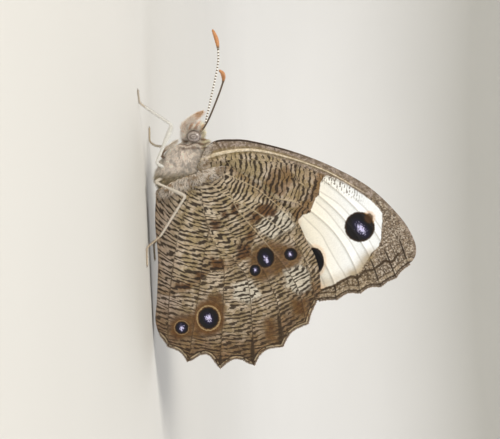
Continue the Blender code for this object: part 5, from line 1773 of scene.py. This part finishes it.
def set_camera():
    """A long lens at the animal's left, turned so that the head is at the top of the picture."""
    back = Vector((
        math.sin(VIEW_AZIMUTH) * math.cos(VIEW_ELEVATION),
        -math.cos(VIEW_AZIMUTH) * math.cos(VIEW_ELEVATION),
        math.sin(VIEW_ELEVATION),
    ))
    right = Vector((math.sin(VIEW_TILT), 0.0, math.cos(VIEW_TILT)))
    right = (right - back * right.dot(back)).normalized()
    up = back.cross(right)
    distance = LENS / SENSOR * VIEW_WIDTH * MM
    target = Vector((np.array(VIEW_TARGET) + SHIFT) * MM)
    data = bpy.data.cameras.new("camera")
    data.lens = LENS
    data.sensor_width = SENSOR
    data.clip_start = 0.01
    data.clip_end = 10.0
    camera = put("camera", data)
    turn = Matrix((right, up, back)).transposed().to_4x4()
    camera.matrix_world = Matrix.Translation(target + back * distance) @ turn
    bpy.context.scene.camera = camera


def make_floor():
    """A pale floor that sweeps up into a rim far beyond the camera, so no horizon shows."""
    profile = [
        (0.0, 0.0), (0.22, 0.0), (0.34, 0.002), (0.44, 0.018), (0.54, 0.06),
        (0.63, 0.13), (0.7, 0.23), (0.75, 0.36), (0.78, 0.52), (0.79, 0.7),
    ]
    line = np.vstack([[(0.0, 0.0)], curve(profile[1:], 8)])
    turns = 64
    points = [(0.0, 0.0, 0.0)]
    faces = []
    for radius, height in line[1:]:
        for index in range(turns):
            angle = 2 * math.pi * index / turns
            points.append((radius * math.cos(angle), radius * math.sin(angle), height))
    for index in range(turns):
        turn = (index + 1) % turns
        faces.append((0, 1 + index, 1 + turn))
        for ring in range(len(line) - 2):
            here, there = 1 + ring * turns, 1 + (ring + 1) * turns
            faces.append((here + index, there + index, there + turn, here + turn))
    mesh = bpy.data.meshes.new("floor")
    mesh.from_pydata(points, [], faces)
    mesh.shade_smooth()
    material, tree, shader = new_material("matt_pale_paint")
    at = node(tree, "ShaderNodeTexCoord")
    clouds = node(tree, "ShaderNodeTexNoise", {"Vector": (at, "Object"), "Scale": 14.0, "Detail": 2.0})
    colour = blend(tree, clouds, "#cfcdc6", "#d5d3cc")
    surface(tree, shader, colour, 0.9)
    mesh.materials.append(material)
    put("floor", mesh)


def add_light(name, place, size, power, colour, aim=(0.0, 0.0, 0.014)):
    """A square soft light that faces the animal, or another place."""
    data = bpy.data.lights.new(name, "AREA")
    data.shape = "SQUARE"
    data.size = size
    data.energy = power
    data.color = linear(colour)[:3]
    light = put(name, data)
    light.location = place
    light.rotation_mode = "QUATERNION"
    light.rotation_quaternion = (Vector(aim) - Vector(place)).to_track_quat("-Z", "Y")
    light.visible_camera = False


def light_studio():
    """Soft daylight-like light from ahead and above, with fills from the sides."""
    add_light("key", (-0.26, -0.30, 0.34), 0.22, 2.3, "#fffaf3")
    add_light("fill", (0.34, -0.26, 0.16), 0.3, 0.7, "#f3f5ff")
    add_light("far_fill", (0.05, 0.42, 0.3), 0.3, 0.9, "#f6f6ff")
    add_light("backdrop", (0.0, 0.3, 0.55), 0.3, 0.55, "#fbfaf6", aim=(0.0, 0.72, 0.12))
    world = bpy.data.worlds.new("studio")
    bpy.context.scene.world = world
    world.use_nodes = True
    sky = world.node_tree.nodes["Background"]
    sky.inputs["Color"].default_value = linear("#f2f3f5")
    sky.inputs["Strength"].default_value = 0.38
    bpy.context.scene.view_settings.view_transform = "Standard"


set_camera()
make_floor()
light_studio()
make_wings()
make_body()
make_eyes()
make_palps()
make_antennae()
make_legs()
make_forelegs()
